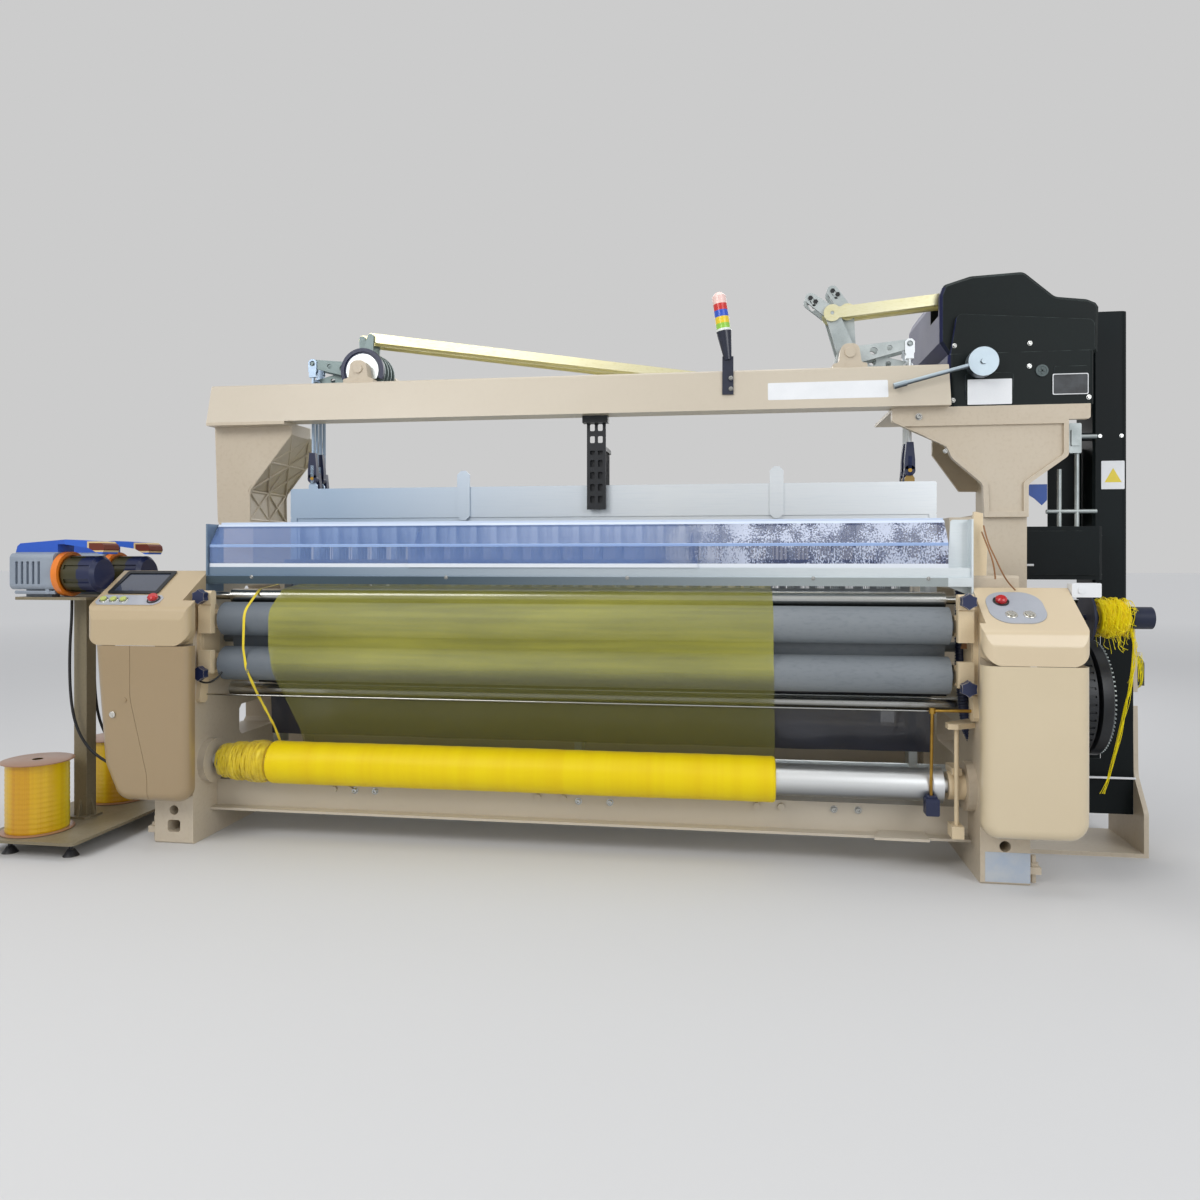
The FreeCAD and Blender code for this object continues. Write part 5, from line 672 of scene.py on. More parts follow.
# The vertical bands of bright yellow and orange round each package are painted sheen highlights.
package_finish = finish("yarn_package", srgb(240, 214, 2), srgb(190, 124, 6), 0.3,
                        rough_spread=0.1, scale=9.0, clouds=0.9, specks=0.1,
                        stretch=(1, 1, 0.01), grain_scale=1100, grain_depth=0.3,
                        grain_stretch=(0.02, 0.02, 1), zones=package_zones, Coat_Weight=0.25,
                        Coat_Roughness=0.2)
REEL_Y, REEL_Z, REEL_RADIUS = 220, 812, 54
reel_ends = [dict(Origin=at(0, REEL_Y, REEL_Z), Low=(low, -0.2, -0.2), High=(high, 0.2, 0.2),
                  colour=srgb(34, 40, 60)) for low, high in ((1.0, 1.733), (1.828, 2.0))]
reel_finish = wound_yarn("waste_reel", srgb(244, 214, 20), srgb(216, 180, 10), (1, 0.3, 0.2),
                         0.0020, zones=reel_ends)

# %% Zones on the desks' control panels and on the heald frames' hangers
PANEL_GREY = srgb(172, 176, 184)


def desk_zone(front_y, front_z, rise, run, low, high):
    """The raised panel on a sloped desk, as a box that lies on the slope."""
    return dict(Origin=at(0, front_y, front_z), Turn=(-math.atan2(rise, run), 0, 0),
                Low=(*low, 0.0022), High=(*high, 0.02), colour=PANEL_GREY)


# The left desk takes a darker copy of the desk colour: painted shade.
shaded_desk_left = finish("beige_desk_shaded", srgb(190, 170, 136), srgb(176, 156, 122), 0.3, **GLOSS,
                   zones=[desk_zone(-100, 836, 126, 204, (-1.6385, 0.0135), (-1.3935, 0.0745))])
desk_right = finish("beige_desk", srgb(216, 198, 166), srgb(204, 184, 152), 0.3, **GLOSS)


HANGER_X = (-1092, 1192)


def heald_finish(name, top):
    """Aluminium rails; navy turnbuckles and brass forks where the hangers meet the top rail."""
    zones = [dict(Origin=at(x, 505, top), Low=(-0.02, -0.1, low), High=(0.02, 0.1, high),
                  colour=colour)
             for x in HANGER_X for low, high, colour in ((0.0004, 0.022, srgb(150, 124, 70)),
                                                         (0.022, 0.093, srgb(28, 38, 74)))]
    # Towards the left the rails fade to a darker blue-grey: painted shade.
    return finish(name, srgb(236, 240, 242), srgb(212, 221, 228), 0.36, scale=5.0, clouds=0.4,
                  painted_shade_fades=[(0.3, -1.0, srgb(166, 186, 208), None)],
                  specks=0.2, stretch=(0.04, 1, 1), grain_scale=900, grain_depth=0.12,
                  grain_stretch=(0.02, 1, 1), zones=zones, Metallic=0.5)


# Faces of the lever that look down are darker: painted shade.
lever_silver = finish("satin_nickel", srgb(178, 192, 200), srgb(150, 164, 174), 0.3, scale=9,
                      clouds=0.4, grain_scale=700, grain_depth=0.08, Metallic=0.8,
                      underside=srgb(88, 96, 104))
# The lower face of the rail is a darker grey, painted shade; towards the left the whole rail fades
# darker, its lower face darkest, as painted shade and a painted dark reflection.
SHADED_RAIL_FACE = dict(Origin=at(0, 0, 915), Low=(-1.3165, -0.5, 0.0), High=(1.24, 0.5, 0.028))
rail_silver = finish("anodised_rail", srgb(222, 229, 231), srgb(196, 206, 210), 0.36, scale=1.4,
                     clouds=0.7, specks=0.15, stretch=(0.5, 4, 4), grain_scale=900,
                     grain_depth=0.1, grain_stretch=(0.02, 1, 1), Metallic=0.45,
                     zones=[dict(colour=srgb(158, 166, 166), **SHADED_RAIL_FACE)],
                     painted_shade_fades=[(0.9, -1.0, srgb(118, 138, 158), None),
                            (0.8, -0.5, srgb(66, 82, 92), SHADED_RAIL_FACE)])
HEALD_TOPS = {"a": 1283.2, "b": 1206.8}
HEALD_PLANES = {"a": (457, 521), "b": (489, 553)}
heald_high = heald_finish("raised_heald_rails", HEALD_TOPS["a"])
heald_low = heald_finish("lowered_heald_rails", HEALD_TOPS["b"])

# %% Which finish each CAD node takes
dark_screen = finish("screen_glass", srgb(58, 66, 84), srgb(44, 50, 66), 0.16, scale=6,
                     grain_depth=0.01, Coat_Weight=0.8, Coat_Roughness=0.05)
FINISHES = {
    cast_paint: "left_side_frame right_side_frame left_post right_post lever_shafts",
    bracket_paint: "roller_brackets",
    beam_paint: "cross_beams top_beams",
    shaded_shell_left: "left_cover_door left_lower_cover",
    shell_right: "right_lower_cover",
    shaded_desk_left: "left_console",
    desk_right: "right_console",
    galvanised: "sley warp_beam",
    heald_high: "heald_frames_a",
    heald_low: "heald_frames_b",
    bright_bar: "guide_bars back_rest",
    lever_silver: "hand_lever",
    rail_silver: "breast_rail",
    silver_tube: "cloth_beam",
    cast_silver: "right_levers_a right_levers_b left_levers_a left_levers_b",
    zinc_yellow: "cross_rods_a cross_rods_b dobby_rods_a dobby_rods_b",
    reed_steel: "reed",
    roller_rubber: "upper_press_roller lower_press_roller take_up_roller",
    shield_sheet: "fixed_shields sliding_shield",
    black_paint: "dobby_housing dobby_cover",
    guard_paint: "drive_guard electrical_box",
    black_plastic: "heald_guide_comb drive_pulley",
    stand_paint: "feeder_stand",
    orange_gloss: "feeder_rotor_front feeder_rotor_rear",
    feeder_paint: "feeder_bodies",
    package_finish: "yarn_spools",
    reel_finish: "waste_reel",
    lamp_stack: "signal_tower",
    roll_yarn: "cloth_roll",
    warp_veil: "warp_and_cloth",
    dark_screen: "touch_screen",
    red_gloss: "left_estop right_estop",
    green_gloss: "left_button_1 left_button_2 left_button_3",
    steel_button: "right_start_button right_stop_button",
    cable_sheath: "feeder_cables",
}
for material, names in FINISHES.items():
    for name in names.split():
        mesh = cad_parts[name].data
        mesh.materials.clear()
        mesh.materials.append(material)
dressed = " ".join(FINISHES.values()).split()
print("nodes dressed", len(dressed), "left", sorted(set(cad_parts) - set(dressed)))

# %% [markdown]
# Cloth, rolls and windings all come from two mesh builders: a lathe, which turns a wavy profile
# about an axis, and a band, which lays a sheet along a path with its UV map in metres.

# %% Mesh builders: finished pieces stand at the origin, with their place in the mesh


def finished(name, corners, faces, material, body, slot, smooth=True, replaces=()):
    """A mesh piece in metres that rides on a body."""
    mesh = bpy.data.meshes.new(name)
    mesh.from_pydata([tuple(c) for c in corners], [], faces)
    mesh.polygons.foreach_set("use_smooth", [smooth] * len(mesh.polygons))
    mesh.set_sharp_from_angle(angle=math.radians(35))
    mesh.materials.append(material)
    mesh.update()
    made = in_scene(name, mesh)
    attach(made, body)
    if replaces:
        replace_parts(made, *replaces)
    return made


def facing(axis, centre):
    """Placement in millimetres whose own Z points along X, towards the viewer (F) or up (Z)."""
    turns = {"X": ((0, 0, 1), (1, 0, 0), (0, 1, 0)), "F": ((1, 0, 0), (0, 0, -1), (0, 1, 0)),
             "Z": ((1, 0, 0), (0, 1, 0), (0, 0, 1))}
    return Matrix.Translation(centre) @ Matrix(turns[axis]).to_4x4()


def lathe(profile, place, segments=96, wave=None):
    """Corners and faces of a turned form; profile is (along, radius) in millimetres."""
    corners, faces = [], []
    for along, radius in profile:
        for i in range(segments):
            angle = 2 * math.pi * i / segments
            r = radius + (wave(along, angle) if wave else 0)
            point = Vector((r * math.cos(angle), r * math.sin(angle), along))
            corners.append(at(*(place @ point)))
    for ring in range(len(profile) - 1):
        for i in range(segments):
            a, b = ring * segments + i, ring * segments + (i + 1) % segments
            faces.append((a, b, b + segments, a + segments))
    return corners, faces


def slab(outline, low, high, place):
    """A plate with a flat outline in millimetres between two heights."""
    count = len(outline)
    corners = [at(*(place @ Vector((u, v, h)))) for h in (low, high) for u, v in outline]
    sides = [(i, (i + 1) % count, count + (i + 1) % count, count + i) for i in range(count)]
    return corners, [tuple(range(count))[::-1], tuple(range(count, 2 * count))] + sides


def front(x, y, z):
    """Placement whose own Z points towards the viewer."""
    return facing("F", (x, y, z))


def plate(outline, low, high, y):
    """A slab that faces the viewer, between two distances in front of plane y."""
    return slab(outline, low, high, front(0, y, 0))


def rounded(u0, v0, u1, v1, r, steps=5):
    """Outline of a rectangle with round corners."""
    points = []
    for cu, cv, start in ((u1 - r, v1 - r, 0), (u0 + r, v1 - r, 90), (u0 + r, v0 + r, 180),
                          (u1 - r, v0 + r, 270)):
        for k in range(steps + 1):
            angle = math.radians(start + 90 * k / steps)
            points.append((cu + r * math.cos(angle), cv + r * math.sin(angle)))
    return points


def ring_points(cu, cv, radius, count=28):
    """Outline of a circle."""
    return [(cu + radius * math.cos(2 * math.pi * i / count),
             cv + radius * math.sin(2 * math.pi * i / count)) for i in range(count)]


def joined(parts):
    """Several (corners, faces) lists as one."""
    corners, faces = [], []
    for some_corners, some_faces in parts:
        start = len(corners)
        corners += some_corners
        faces += [tuple(start + i for i in face) for face in some_faces]
    return corners, faces


def fitting(name, parts, material, slot, body="frame", **more):
    """One finished piece made of several parts."""
    return finished(name, *joined(parts), material, body, slot, **more)


# %% The cloth's path round the rollers, as points and running lengths in millimetres
BEAM_Y, BEAM_Z = 100, 277
WRAP = 0.8
CLOTH_STOPS = [(300, 915, 0), (130, 870, 26 + WRAP), (80, 790, 60 + WRAP), (80, 632, 60 + WRAP),
               (BEAM_Y, BEAM_Z, -75 - WRAP), (175.8, 257, 0)]
WARP_STOPS = [(1578.6, 709.9, 0), (1250, 955, 48 + WRAP), (620, 944, 0)]


def running_lengths(points):
    """Length of the path up to each of its points."""
    lengths = [0.0]
    for one, other in zip(points, points[1:]):
        lengths.append(lengths[-1] + math.dist(one, other))
    return lengths


def path_round(stops, step=14.0):
    """Middle line of a sheet led round circles (y, z, radius); a radius above 0 turns left."""
    runs = []
    for (y1, z1, r1), (y2, z2, r2) in zip(stops, stops[1:]):
        angle = math.atan2(z2 - z1, y2 - y1) - math.asin((r2 - r1) / math.hypot(y2 - y1, z2 - z1))
        if runs:
            angle += 2 * math.pi * round((runs[-1][0] - angle) / (2 * math.pi))
        start = (y1 + math.sin(angle) * r1, z1 - math.cos(angle) * r1)
        end = (y2 + math.sin(angle) * r2, z2 - math.cos(angle) * r2)
        runs.append((angle, start, end))
    points = []
    for i, (angle, start, end) in enumerate(runs):
        count = max(1, round(math.dist(start, end) / step))
        points += [(start[0] + (end[0] - start[0]) * k / count,
                    start[1] + (end[1] - start[1]) * k / count) for k in range(count)]
        if i + 1 == len(runs):
            points.append(end)
            continue
        y, z, r = stops[i + 1]
        sweep = runs[i + 1][0] - angle
        count = max(2, round(abs(sweep) / 0.12))
        points += [(y + math.sin(angle + sweep * k / count) * r,
                    z - math.cos(angle + sweep * k / count) * r) for k in range(count)]
    return points, running_lengths(points)


cloth_path, cloth_lengths = path_round(CLOTH_STOPS)
print("cloth path", len(cloth_path), "points,", round(cloth_lengths[-1]), "mm")

# %% A band of cloth along such a path


def between(value, table):
    """Straight-line reading of a table of (key, value) pairs."""
    for (k0, v0), (k1, v1) in zip(table, table[1:]):
        if value <= k1:
            return v0 + (v1 - v0) * max(0.0, (value - k0) / (k1 - k0))
    return table[-1][1]


def band(name, path, lengths, left, right, columns, material, pucker=None, slot="cloth_yellow",
         replaces=("warp_and_cloth",)):
    """Sheet between two edges given as (length along the path, x) tables; UV in metres."""
    corners, faces = [], []
    for (y, z), run in zip(path, lengths):
        x0, x1 = between(run, left), between(run, right)
        for i in range(columns + 1):
            x = x0 + (x1 - x0) * i / columns
            lift = pucker(x, run) if pucker else 0
            corners.append(at(x, y - lift, z))
    for row in range(len(path) - 1):
        for i in range(columns):
            a = row * (columns + 1) + i
            faces.append((a, a + 1, a + columns + 2, a + columns + 1))
    made = finished(name, corners, faces, material, "frame", slot, replaces=replaces)
    layer = made.data.uv_layers.new(name="UVMap")
    for loop in made.data.loops:
        row = loop.vertex_index // (columns + 1)
        layer.data[loop.index].uv = (corners[loop.vertex_index][0], lengths[row] / 1000)
    return made


total = cloth_lengths[-1]
lower_exit = total - 470
cloth_left = [(0, -1045), (lower_exit, -1045), (total - 150, -982), (total, -982)]
cloth_right = [(0, 690), (lower_exit, 690), (total - 150, 699), (total, 699)]


def drawn_in(x, run):
    """Shallow folds in the free stretch, deepest near the edges of the cloth."""
    free = math.sin(math.pi * min(1.0, max(0.0, (run - lower_exit - 30) / 290)))
    side = min(1.0, abs(x + 160) / 860) ** 3
    return free * (1.2 + 1.2 * math.sin(x / 61) + 4 * side * (1 + math.sin(x / 17 + run / 90)))


cloth_veil = veil("open_filament_cloth", srgb(204, 200, 66), srgb(150, 148, 40), 0.27, 0.56,
                  pitch=0.0014, hangs_from=(lower_exit + 45) / 1000, over_bars=0.09)
cloth = band("woven_cloth", cloth_path, cloth_lengths, cloth_left, cloth_right, 220, cloth_veil,
             drawn_in)

selvedge_line = [(0, -1126), (total * 0.3, -1134), (lower_exit, -1140), (total - 300, -1112),
                 (total - 150, -1078), (total, -1064)]
selvedge = band("cut_selvedge", cloth_path, cloth_lengths,
                [(run, x - 5 - 1.5 * math.sin(run / 40)) for run, x in selvedge_line],
                [(run, x + 5) for run, x in selvedge_line], 4, loose_yarn,
                lambda x, run: 1.5 * math.sin(run / 23 + x / 3) * (run > lower_exit + 40))

# %% The warp sheet, drawn from the warp beam over the back rest to the heald frames
warp_path, warp_lengths = path_round(WARP_STOPS, 40.0)
warp = band("warp_sheet", warp_path, warp_lengths, [(0, -1065), (9999, -1065)],
            [(0, 710), (9999, 710)], 60, warp_veil)
print("warp length", round(warp_lengths[-1]))

# %% [markdown]
# The cloth roll is tight and smooth, with a slightly soft rim. Beside it the cut selvedge winds up
# by itself in a loose tangle, so that part is a lumpy core with dozens of crossing strands.

# %% Cloth roll, warp winding and their soft edges
BEAM = facing("X", (0, BEAM_Y, BEAM_Z))
rim = [(0, 53), (1, 66), (4, 72), (10, 74.4)]
roll_profile = [(-1070 + d, r) for d, r in rim]
roll_profile += [(-1060 + 1750 * i / 70, 74.6 + 0.4 * math.sin(i * 1.9)) for i in range(71)]
roll_profile += [(700 - d, r) for d, r in reversed(rim)]


def slack_turns(along, angle):
    """Tiny unroundness that drifts along the roll."""
    return 0.35 * math.sin(3 * angle + along / 140) + 0.25 * math.sin(5 * angle - along / 90)


finished("cloth_winding", *lathe(roll_profile, BEAM, 128, slack_turns), roll_yarn,
         "cloth_winder", "yarn_yellow", replaces=("cloth_roll",))
warp_profile = [(-1149.5, 92), (-1149.5, 326), (-1140, 330.5)]
warp_profile += [(-1140 + 2280 * i / 40, 331) for i in range(41)] + [(1149.5, 326), (1149.5, 92)]
finished("warp_winding", *lathe(warp_profile, facing("X", (0, 1350, 470)), 160), roll_yarn,
         "warp_winder", "yarn_yellow")

# %% Tangle of cut selvedge at the left end of the cloth beam
rng = random.Random(41)
lumps = [(-1077, 54), (-1079, 66), (-1088, 70), (-1110, 73), (-1140, 70), (-1165, 64), (-1172, 62),
         (-1180, 66), (-1205, 67), (-1222, 60), (-1230, 57), (-1245, 60), (-1262, 56), (-1268, 53)]


def lump_radius(x):
    """Radius of the tangle's lumpy core at one place along the loom."""
    return between(-x, [(-along, radius) for along, radius in lumps])


def knotty(along, angle):
    """Small knots on the core, as an addition to its radius."""
    return 2.2 * math.sin(4 * angle + along / 9) + 1.6 * math.sin(7 * angle - along / 6)


core = lathe([(x, r - 4) for x, r in lumps], BEAM, 72, knotty)
tangle = []
for _ in range(64):
    middle = rng.uniform(-1250, -1092)
    tilt, phase, turns = rng.uniform(-26, 26), rng.uniform(0, 6.3), rng.uniform(0.7, 1.6)
    loose = rng.choice((0, 0, 1, 2, 3))
    route = []
    for i in range(22):
        angle = phase + 2 * math.pi * turns * i / 21
        x = middle + tilt * math.sin(angle * 0.5 + phase) + rng.uniform(-3, 3)
        x = max(-1262, min(-1080, x))
        r = lump_radius(x) + loose + rng.uniform(-1.5, 1.5)
        route.append((x, BEAM_Y + r * math.cos(angle), BEAM_Z + r * math.sin(angle)))
    tangle.append(route)
tangle = drawn_mesh(curve_object("tangle", tangle, 1.1, 1, resolution=12, caps=False))
fitting("selvedge_tangle", [core, tangle], loose_yarn, "yarn_yellow", "cloth_winder",
        replaces=("cloth_roll",))
print("tangle faces", len(tangle[1]))

# %% [markdown]
# Repeated wires are a small Geometry Nodes machine: a line of points, a thin bar at each, a little
# random lean, then one mesh. Heddles hang in every heald frame and dents stand in the reed.

# %% A row of bars by Geometry Nodes


def bar_row_tree():
    """Node group: Count bars of a Size, from Start, a Step apart, each shaken by up to Shake."""
    tree = bpy.data.node_groups.new("bar_row", "GeometryNodeTree")
    for label, kind in (("Count", "Int"), ("Start", "Vector"), ("Step", "Vector"),
                        ("Size", "Vector"), ("Shake", "Vector"), ("Seed", "Int")):
        tree.interface.new_socket(label, in_out="INPUT", socket_type="NodeSocket" + kind)
    tree.interface.new_socket("Material", in_out="INPUT", socket_type="NodeSocketMaterial")
    tree.interface.new_socket("Geometry", in_out="OUTPUT", socket_type="NodeSocketGeometry")
    add = tree.nodes.new
    given = add("NodeGroupInput").outputs
    line, bar = add("GeometryNodeMeshLine"), add("GeometryNodeMeshCube")
    place, shake = add("GeometryNodeInstanceOnPoints"), add("FunctionNodeRandomValue")
    negative, real = add("ShaderNodeVectorMath"), add("GeometryNodeRealizeInstances")
    paint, put = add("GeometryNodeSetMaterial"), add("NodeGroupOutput")
    shake.data_type = "FLOAT_VECTOR"
    negative.operation = "SCALE"
    negative.inputs["Scale"].default_value = -1.0
    for source, target, socket in (
            (given["Count"], line, "Count"), (given["Start"], line, "Start Location"),
            (given["Step"], line, "Offset"), (given["Size"], bar, "Size"),
            (given["Shake"], negative, 0), (negative.outputs[0], shake, "Min"),
            (given["Shake"], shake, "Max"), (given["Seed"], shake, "Seed"),
            (line.outputs["Mesh"], place, "Points"), (bar.outputs["Mesh"], place, "Instance"),
            (shake.outputs["Value"], place, "Rotation"),
            (place.outputs["Instances"], real, "Geometry"),
            (real.outputs["Geometry"], paint, "Geometry"), (given["Material"], paint, "Material"),
            (paint.outputs["Geometry"], put, "Geometry")):
        tree.links.new(source, target.inputs[socket])
    return tree


BAR_ROW = bar_row_tree()


def bar_row(material, count, start, step, size, shake, seed):
    """Corners and faces of one row, worked out by the node group; sizes in millimetres."""
    holder = in_scene("bar_row", bpy.data.meshes.new("bar_row"))
    modifier = holder.modifiers.new("bar_row", "NODES")
    modifier.node_group = BAR_ROW
    values = {"Count": count, "Start": at(*start), "Step": Vector(step) / 1000,
              "Size": Vector(size) / 1000, "Shake": Vector(shake), "Seed": seed,
              "Material": material}
    for socket in BAR_ROW.interface.items_tree:
        if socket.in_out == "INPUT":
            modifier[socket.identifier] = values[socket.name]
    return drawn_mesh(holder)


# %% Heddles in the four heald frames, and dents in the reed
HEDDLES = 150
for letter, top in HEALD_TOPS.items():
    low, high = top - 600 + 58, top - 116
    rows = []
    for number, y in enumerate(HEALD_PLANES[letter]):
        for size, shake, seed in (((1.1, 0.5, high - low), (0.0, 0.002, 0.4), 7),
                                  ((3.4, 1.0, 16), (0.0, 0.0, 0.2), 17)):  # wire, then its eye
            rows.append(bar_row(reed_steel, HEDDLES, (-1140, y, (low + high) / 2),
                                (2380 / HEDDLES, 0, 0), size, shake, seed + number))
    fitting("heddles_" + letter, rows, reed_steel, "reed_steel", f"heald_frames_{letter}_body",
            smooth=False)
dents = bar_row(reed_steel, 360, (-1156, 396, 943), (2312 / 359, 0, 0), (1.6, 3.0, 92),
                (0, 0.0005, 0), 3)
fitting("reed_dents", [dents], reed_steel, "reed_steel", "sley_body", smooth=False)
print("heddles per frame", HEDDLES)

# %% [markdown]
# Screws, plates and trim are small turned or flat pieces. Each kind is one mesh per body.

# %% Screws and bolts


def screw(place, radius, height):
    """Socket head cap screw standing on the placement's plane."""
    profile = [(0, radius * 1.35), (0.8, radius * 1.35), (0.8, radius), (height - 1, radius),
               (height, radius - 1), (height, radius * 0.55), (height * 0.45, radius * 0.5),
               (height * 0.45, 0)]
    return lathe(profile, place, 18)


SCREWS = {  # radius, height: places
    (9, 10): [(x, 150, z) for x, z in ((-783, 172), (-707, 172), (32, 165), (142, 165), (893, 172),
                                       (971, 172))] + [(1209, 380, 1505)],
    (6, 5): [(554, 356, 1656), (554, 350, 1616), (1580, 384, 1752), (1577, 380, 1672),
             (1330, 384, 1752), (1770, 380, 1560), (1325, 380, 1560), (1299, 384, 1383)],
    (5, 3): [(1885, 590, 1089), (1885, 590, 947), (1885, 590, 1452), (1958, 590, 1452)],
    (5, 4): [(x, 78, 940) for x in (-1141, -420, 210, 820, 1180)],
}
screws = [screw(front(*place), *size) for size, places in SCREWS.items() for place in places]
fitting("cap_screws", screws, bright_bar, "bright_steel")
print("cap screws", len(screws))

# %% Plates without any lettering, and the white trim block beside the right desk
BEAM_FACE = Matrix.Translation((893, 357.5, 1603)) @ Matrix.Rotation(math.radians(-14.2), 4, "X")
plates = [slab(rounded(-208, -33, 208, 33, 4), 0, 1.2, BEAM_FACE @ front(0, 0, 0)),
          plate(rounded(1372, 1542, 1519, 1630, 3), 0, 0.9, 376.9),
          plate(rounded(1889, 1258, 1968, 1361, 3), 0, 0.9, 590),
          plate(rounded(1652, 1570, 1768, 1642, 5), 0, 0.6, 377.4)]
fitting("blank_plates", plates, white_plastic, "galvanised")
fitting("rating_plate", [plate(rounded(1655, 1573, 1765, 1639, 4), 0.6, 1.4, 377.4)], dark_steel,
        "galvanised")
fitting("warning_triangle", [plate([(1900, 1283), (1958, 1283), (1929, 1335)], 0.9, 1.5, 590)],
        yarn_paint, "galvanised")
cap = [lathe([(0, 20.5), (3, 20.5), (3, 15), (1.5, 14), (1.5, 0)], front(1618, 379, 1655), 32)]
cap += [plate([(1618 + u * x, 1655 + v * z) for u, v in ((-1, -1), (1, -1), (1, 1), (-1, 1))],
              1.5, 4, 379) for x, z in ((11, 3), (3, 11))]
fitting("oil_cap", cap, cap_grey, "black_paint")
fitting("white_trim_block", [plate(rounded(1604, 884, 1690, 928, 4), -44, 0, 60),
                             plate(rounded(1622, 896, 1640, 914, 6), 0, 4, 60)],
        white_plastic, "beige_shell")

# %% [markdown]
# Round things that bend, such as hoses and thin rods, are swept along smooth curves and turned
# into meshes. Loose yarn is many thin curves with a seeded wander.

# %% Swept strands


def swept(routes, radius, sides=2, order=3):
    """Round strands through control points, as corners and faces; all sizes in millimetres."""
    return drawn_mesh(curve_object("swept", routes, radius, sides, order, resolution=6))


# %% Pipes and rods round the right roller bracket
hose = [(1306, 190, 905), (1304, 180, 850), (1300, 170, 760), (1299, 160, 650), (1304, 155, 540),
        (1318, 155, 450), (1345, 160, 395), (1385, 165, 370)]
rings = []
for (x0, y0, z0), (x1, y1, z1) in zip(hose, hose[1:]):
    count = round(math.dist((x0, y0, z0), (x1, y1, z1)) / 9)
    turn = Vector((x1 - x0, y1 - y0, z1 - z0)).to_track_quat("Z", "Y").to_matrix().to_4x4()
    for k in range(count):
        spot = Vector((x0, y0, z0)).lerp(Vector((x1, y1, z1)), k / count)
        rings.append(lathe([(-2.6, 16), (-1.4, 19.5), (1.4, 19.5), (2.6, 16)],
                           Matrix.Translation(spot) @ turn, 20))
ribs = fitting("pipe_ribs", rings, navy_plastic, "black_plastic")
free_cord("suction_pipe", hose, 17, navy_plastic)

stay = swept([[(1317, 44, 526), (1250, 44, 525), (1192, 44, 524)],
              [(1184, 44, 530), (1182, 44, 420), (1180, 42, 300), (1180, 40, 236)]], 5, 3)
eye = lathe([(-9, 6), (-9, 10), (9, 10), (9, 6)], facing("Z", (1184, 44, 524)), 20)
fitting("brass_stay", [stay, eye], brass, "zinc_yellow")
fitting("stay_end", [plate(rounded(1160, 196, 1202, 250, 5), -40, 0, 20),
                     plate(rounded(1166, 246, 1196, 258, 3), -34, -6, 20)],
        navy_plastic, "black_plastic")
fitting("brown_gusset", [plate([(1283, 716), (1317, 716), (1317, 800), (1304, 800)], -8, 0, 96)],
        brown_paint, "beige_paint")

# %% Black strap and cable loop at the left roller bracket
strap = [(-1392, 792), (-1374, 800), (-1330, 690), (-1318, 640), (-1338, 628), (-1362, 680)]
fitting("bent_strap", [plate(strap, -6, 0, 6)], black_plastic, "black_plastic")
loop = [(-1330, 10, 640), (-1322, 4, 600), (-1296, 4, 572), (-1262, 10, 566), (-1228, 22, 590),
        (-1214, 40, 630)]
free_cord("cable_loop", loop, 3.5, black_plastic)

# %% Yarn round the waste reel, its loose tail, and yarn snagged on the hook beside it
rng = random.Random(12)
fluff = []
for _ in range(150):
    middle, phase = rng.uniform(1742, 1822), rng.uniform(0, 6.3)
    turns, stand_off = rng.uniform(0.3, 1.1), rng.choice((1, 2, 3, 5, 9, 14))
    route = []
    for i in range(14):
        angle = phase + 2 * math.pi * turns * i / 13
        x = middle + 20 * math.sin(angle * 0.7 + phase) + rng.uniform(-4, 4)
        r = REEL_RADIUS + 1 + stand_off * rng.uniform(0.3, 1.1)
        x = max(1733, min(1834, x))
        route.append((x, REEL_Y + r * math.cos(angle), REEL_Z + r * math.sin(angle)))
    fluff.append(route)
for _ in range(70):
    angle, x = rng.uniform(0, 6.3), rng.uniform(1740, 1836)
    reach = rng.uniform(10, 42)
    route = [(x, REEL_Y + REEL_RADIUS * math.cos(angle), REEL_Z + REEL_RADIUS * math.sin(angle))]
    for step in (0.4, 0.8, 1.0):
        r = REEL_RADIUS + reach * step
        route.append((x + rng.uniform(-10, 22) * step, REEL_Y + r * math.cos(angle),
                      REEL_Z + r * math.sin(angle) - 22 * step))
    fluff.append(route)
fitting("waste_yarn", [swept(fluff, 0.7, 0)], waste_yarn, "yarn_yellow", "waste_winder")

tail = []
for _ in range(16):
    sway = [rng.uniform(-9, 9) for _ in range(9)]
    bottom = rng.choice((0, 0, 0, 60, 150, 300))
    route = []
    for i, (x, z) in enumerate(((1838, 786), (1848, 730), (1846, 670), (1838, 600), (1824, 520),
                                (1806, 440), (1786, 360), (1766, 290), (1748, 240))):
        if z >= 240 + bottom:
            route.append((x + sway[i], 214 + 0.6 * sway[(i + 3) % 9], z))
    tail.append(route)
fitting("yarn_tail", [swept(tail, 0.8, 0)], waste_yarn, "yarn_yellow")

snag = []
for _ in range(18):
    x, height = rng.uniform(1945, 1980), rng.uniform(-16, 16)
    snag.append([(x + rng.uniform(-9, 4), y, 611 + height + z) for y, z in
                 ((466, 50), (463, 0), (466, -50), (534, -50), (537, 0), (534, 50), (466, 50))])
fitting("snagged_yarn", [swept(snag, 0.9, 0)], waste_yarn, "yarn_yellow")

# %% Yarn packages on the stand
package = [(0, 17), (0, 109), (1.5, 113.5), (4, 113.5), (5, 109), (5.2, 96)]
package += [(8 + 229 * i / 40, 97.5 + 0.8 * math.sin(i * 2.1)) for i in range(41)]
package += [(239.8, 96), (240, 109), (241, 113.5), (243.5, 113.5), (245, 109), (245, 17)]
for number, y in enumerate((-98, 315)):
    turned_package = lathe(package, facing("Z", (-1842, y, 60.3)), 128)
    finished(f"yarn_package_{number + 1}", *turned_package, package_finish, "frame", "yarn_yellow",
             replaces=("yarn_spools",))
print("yarn pieces ready")

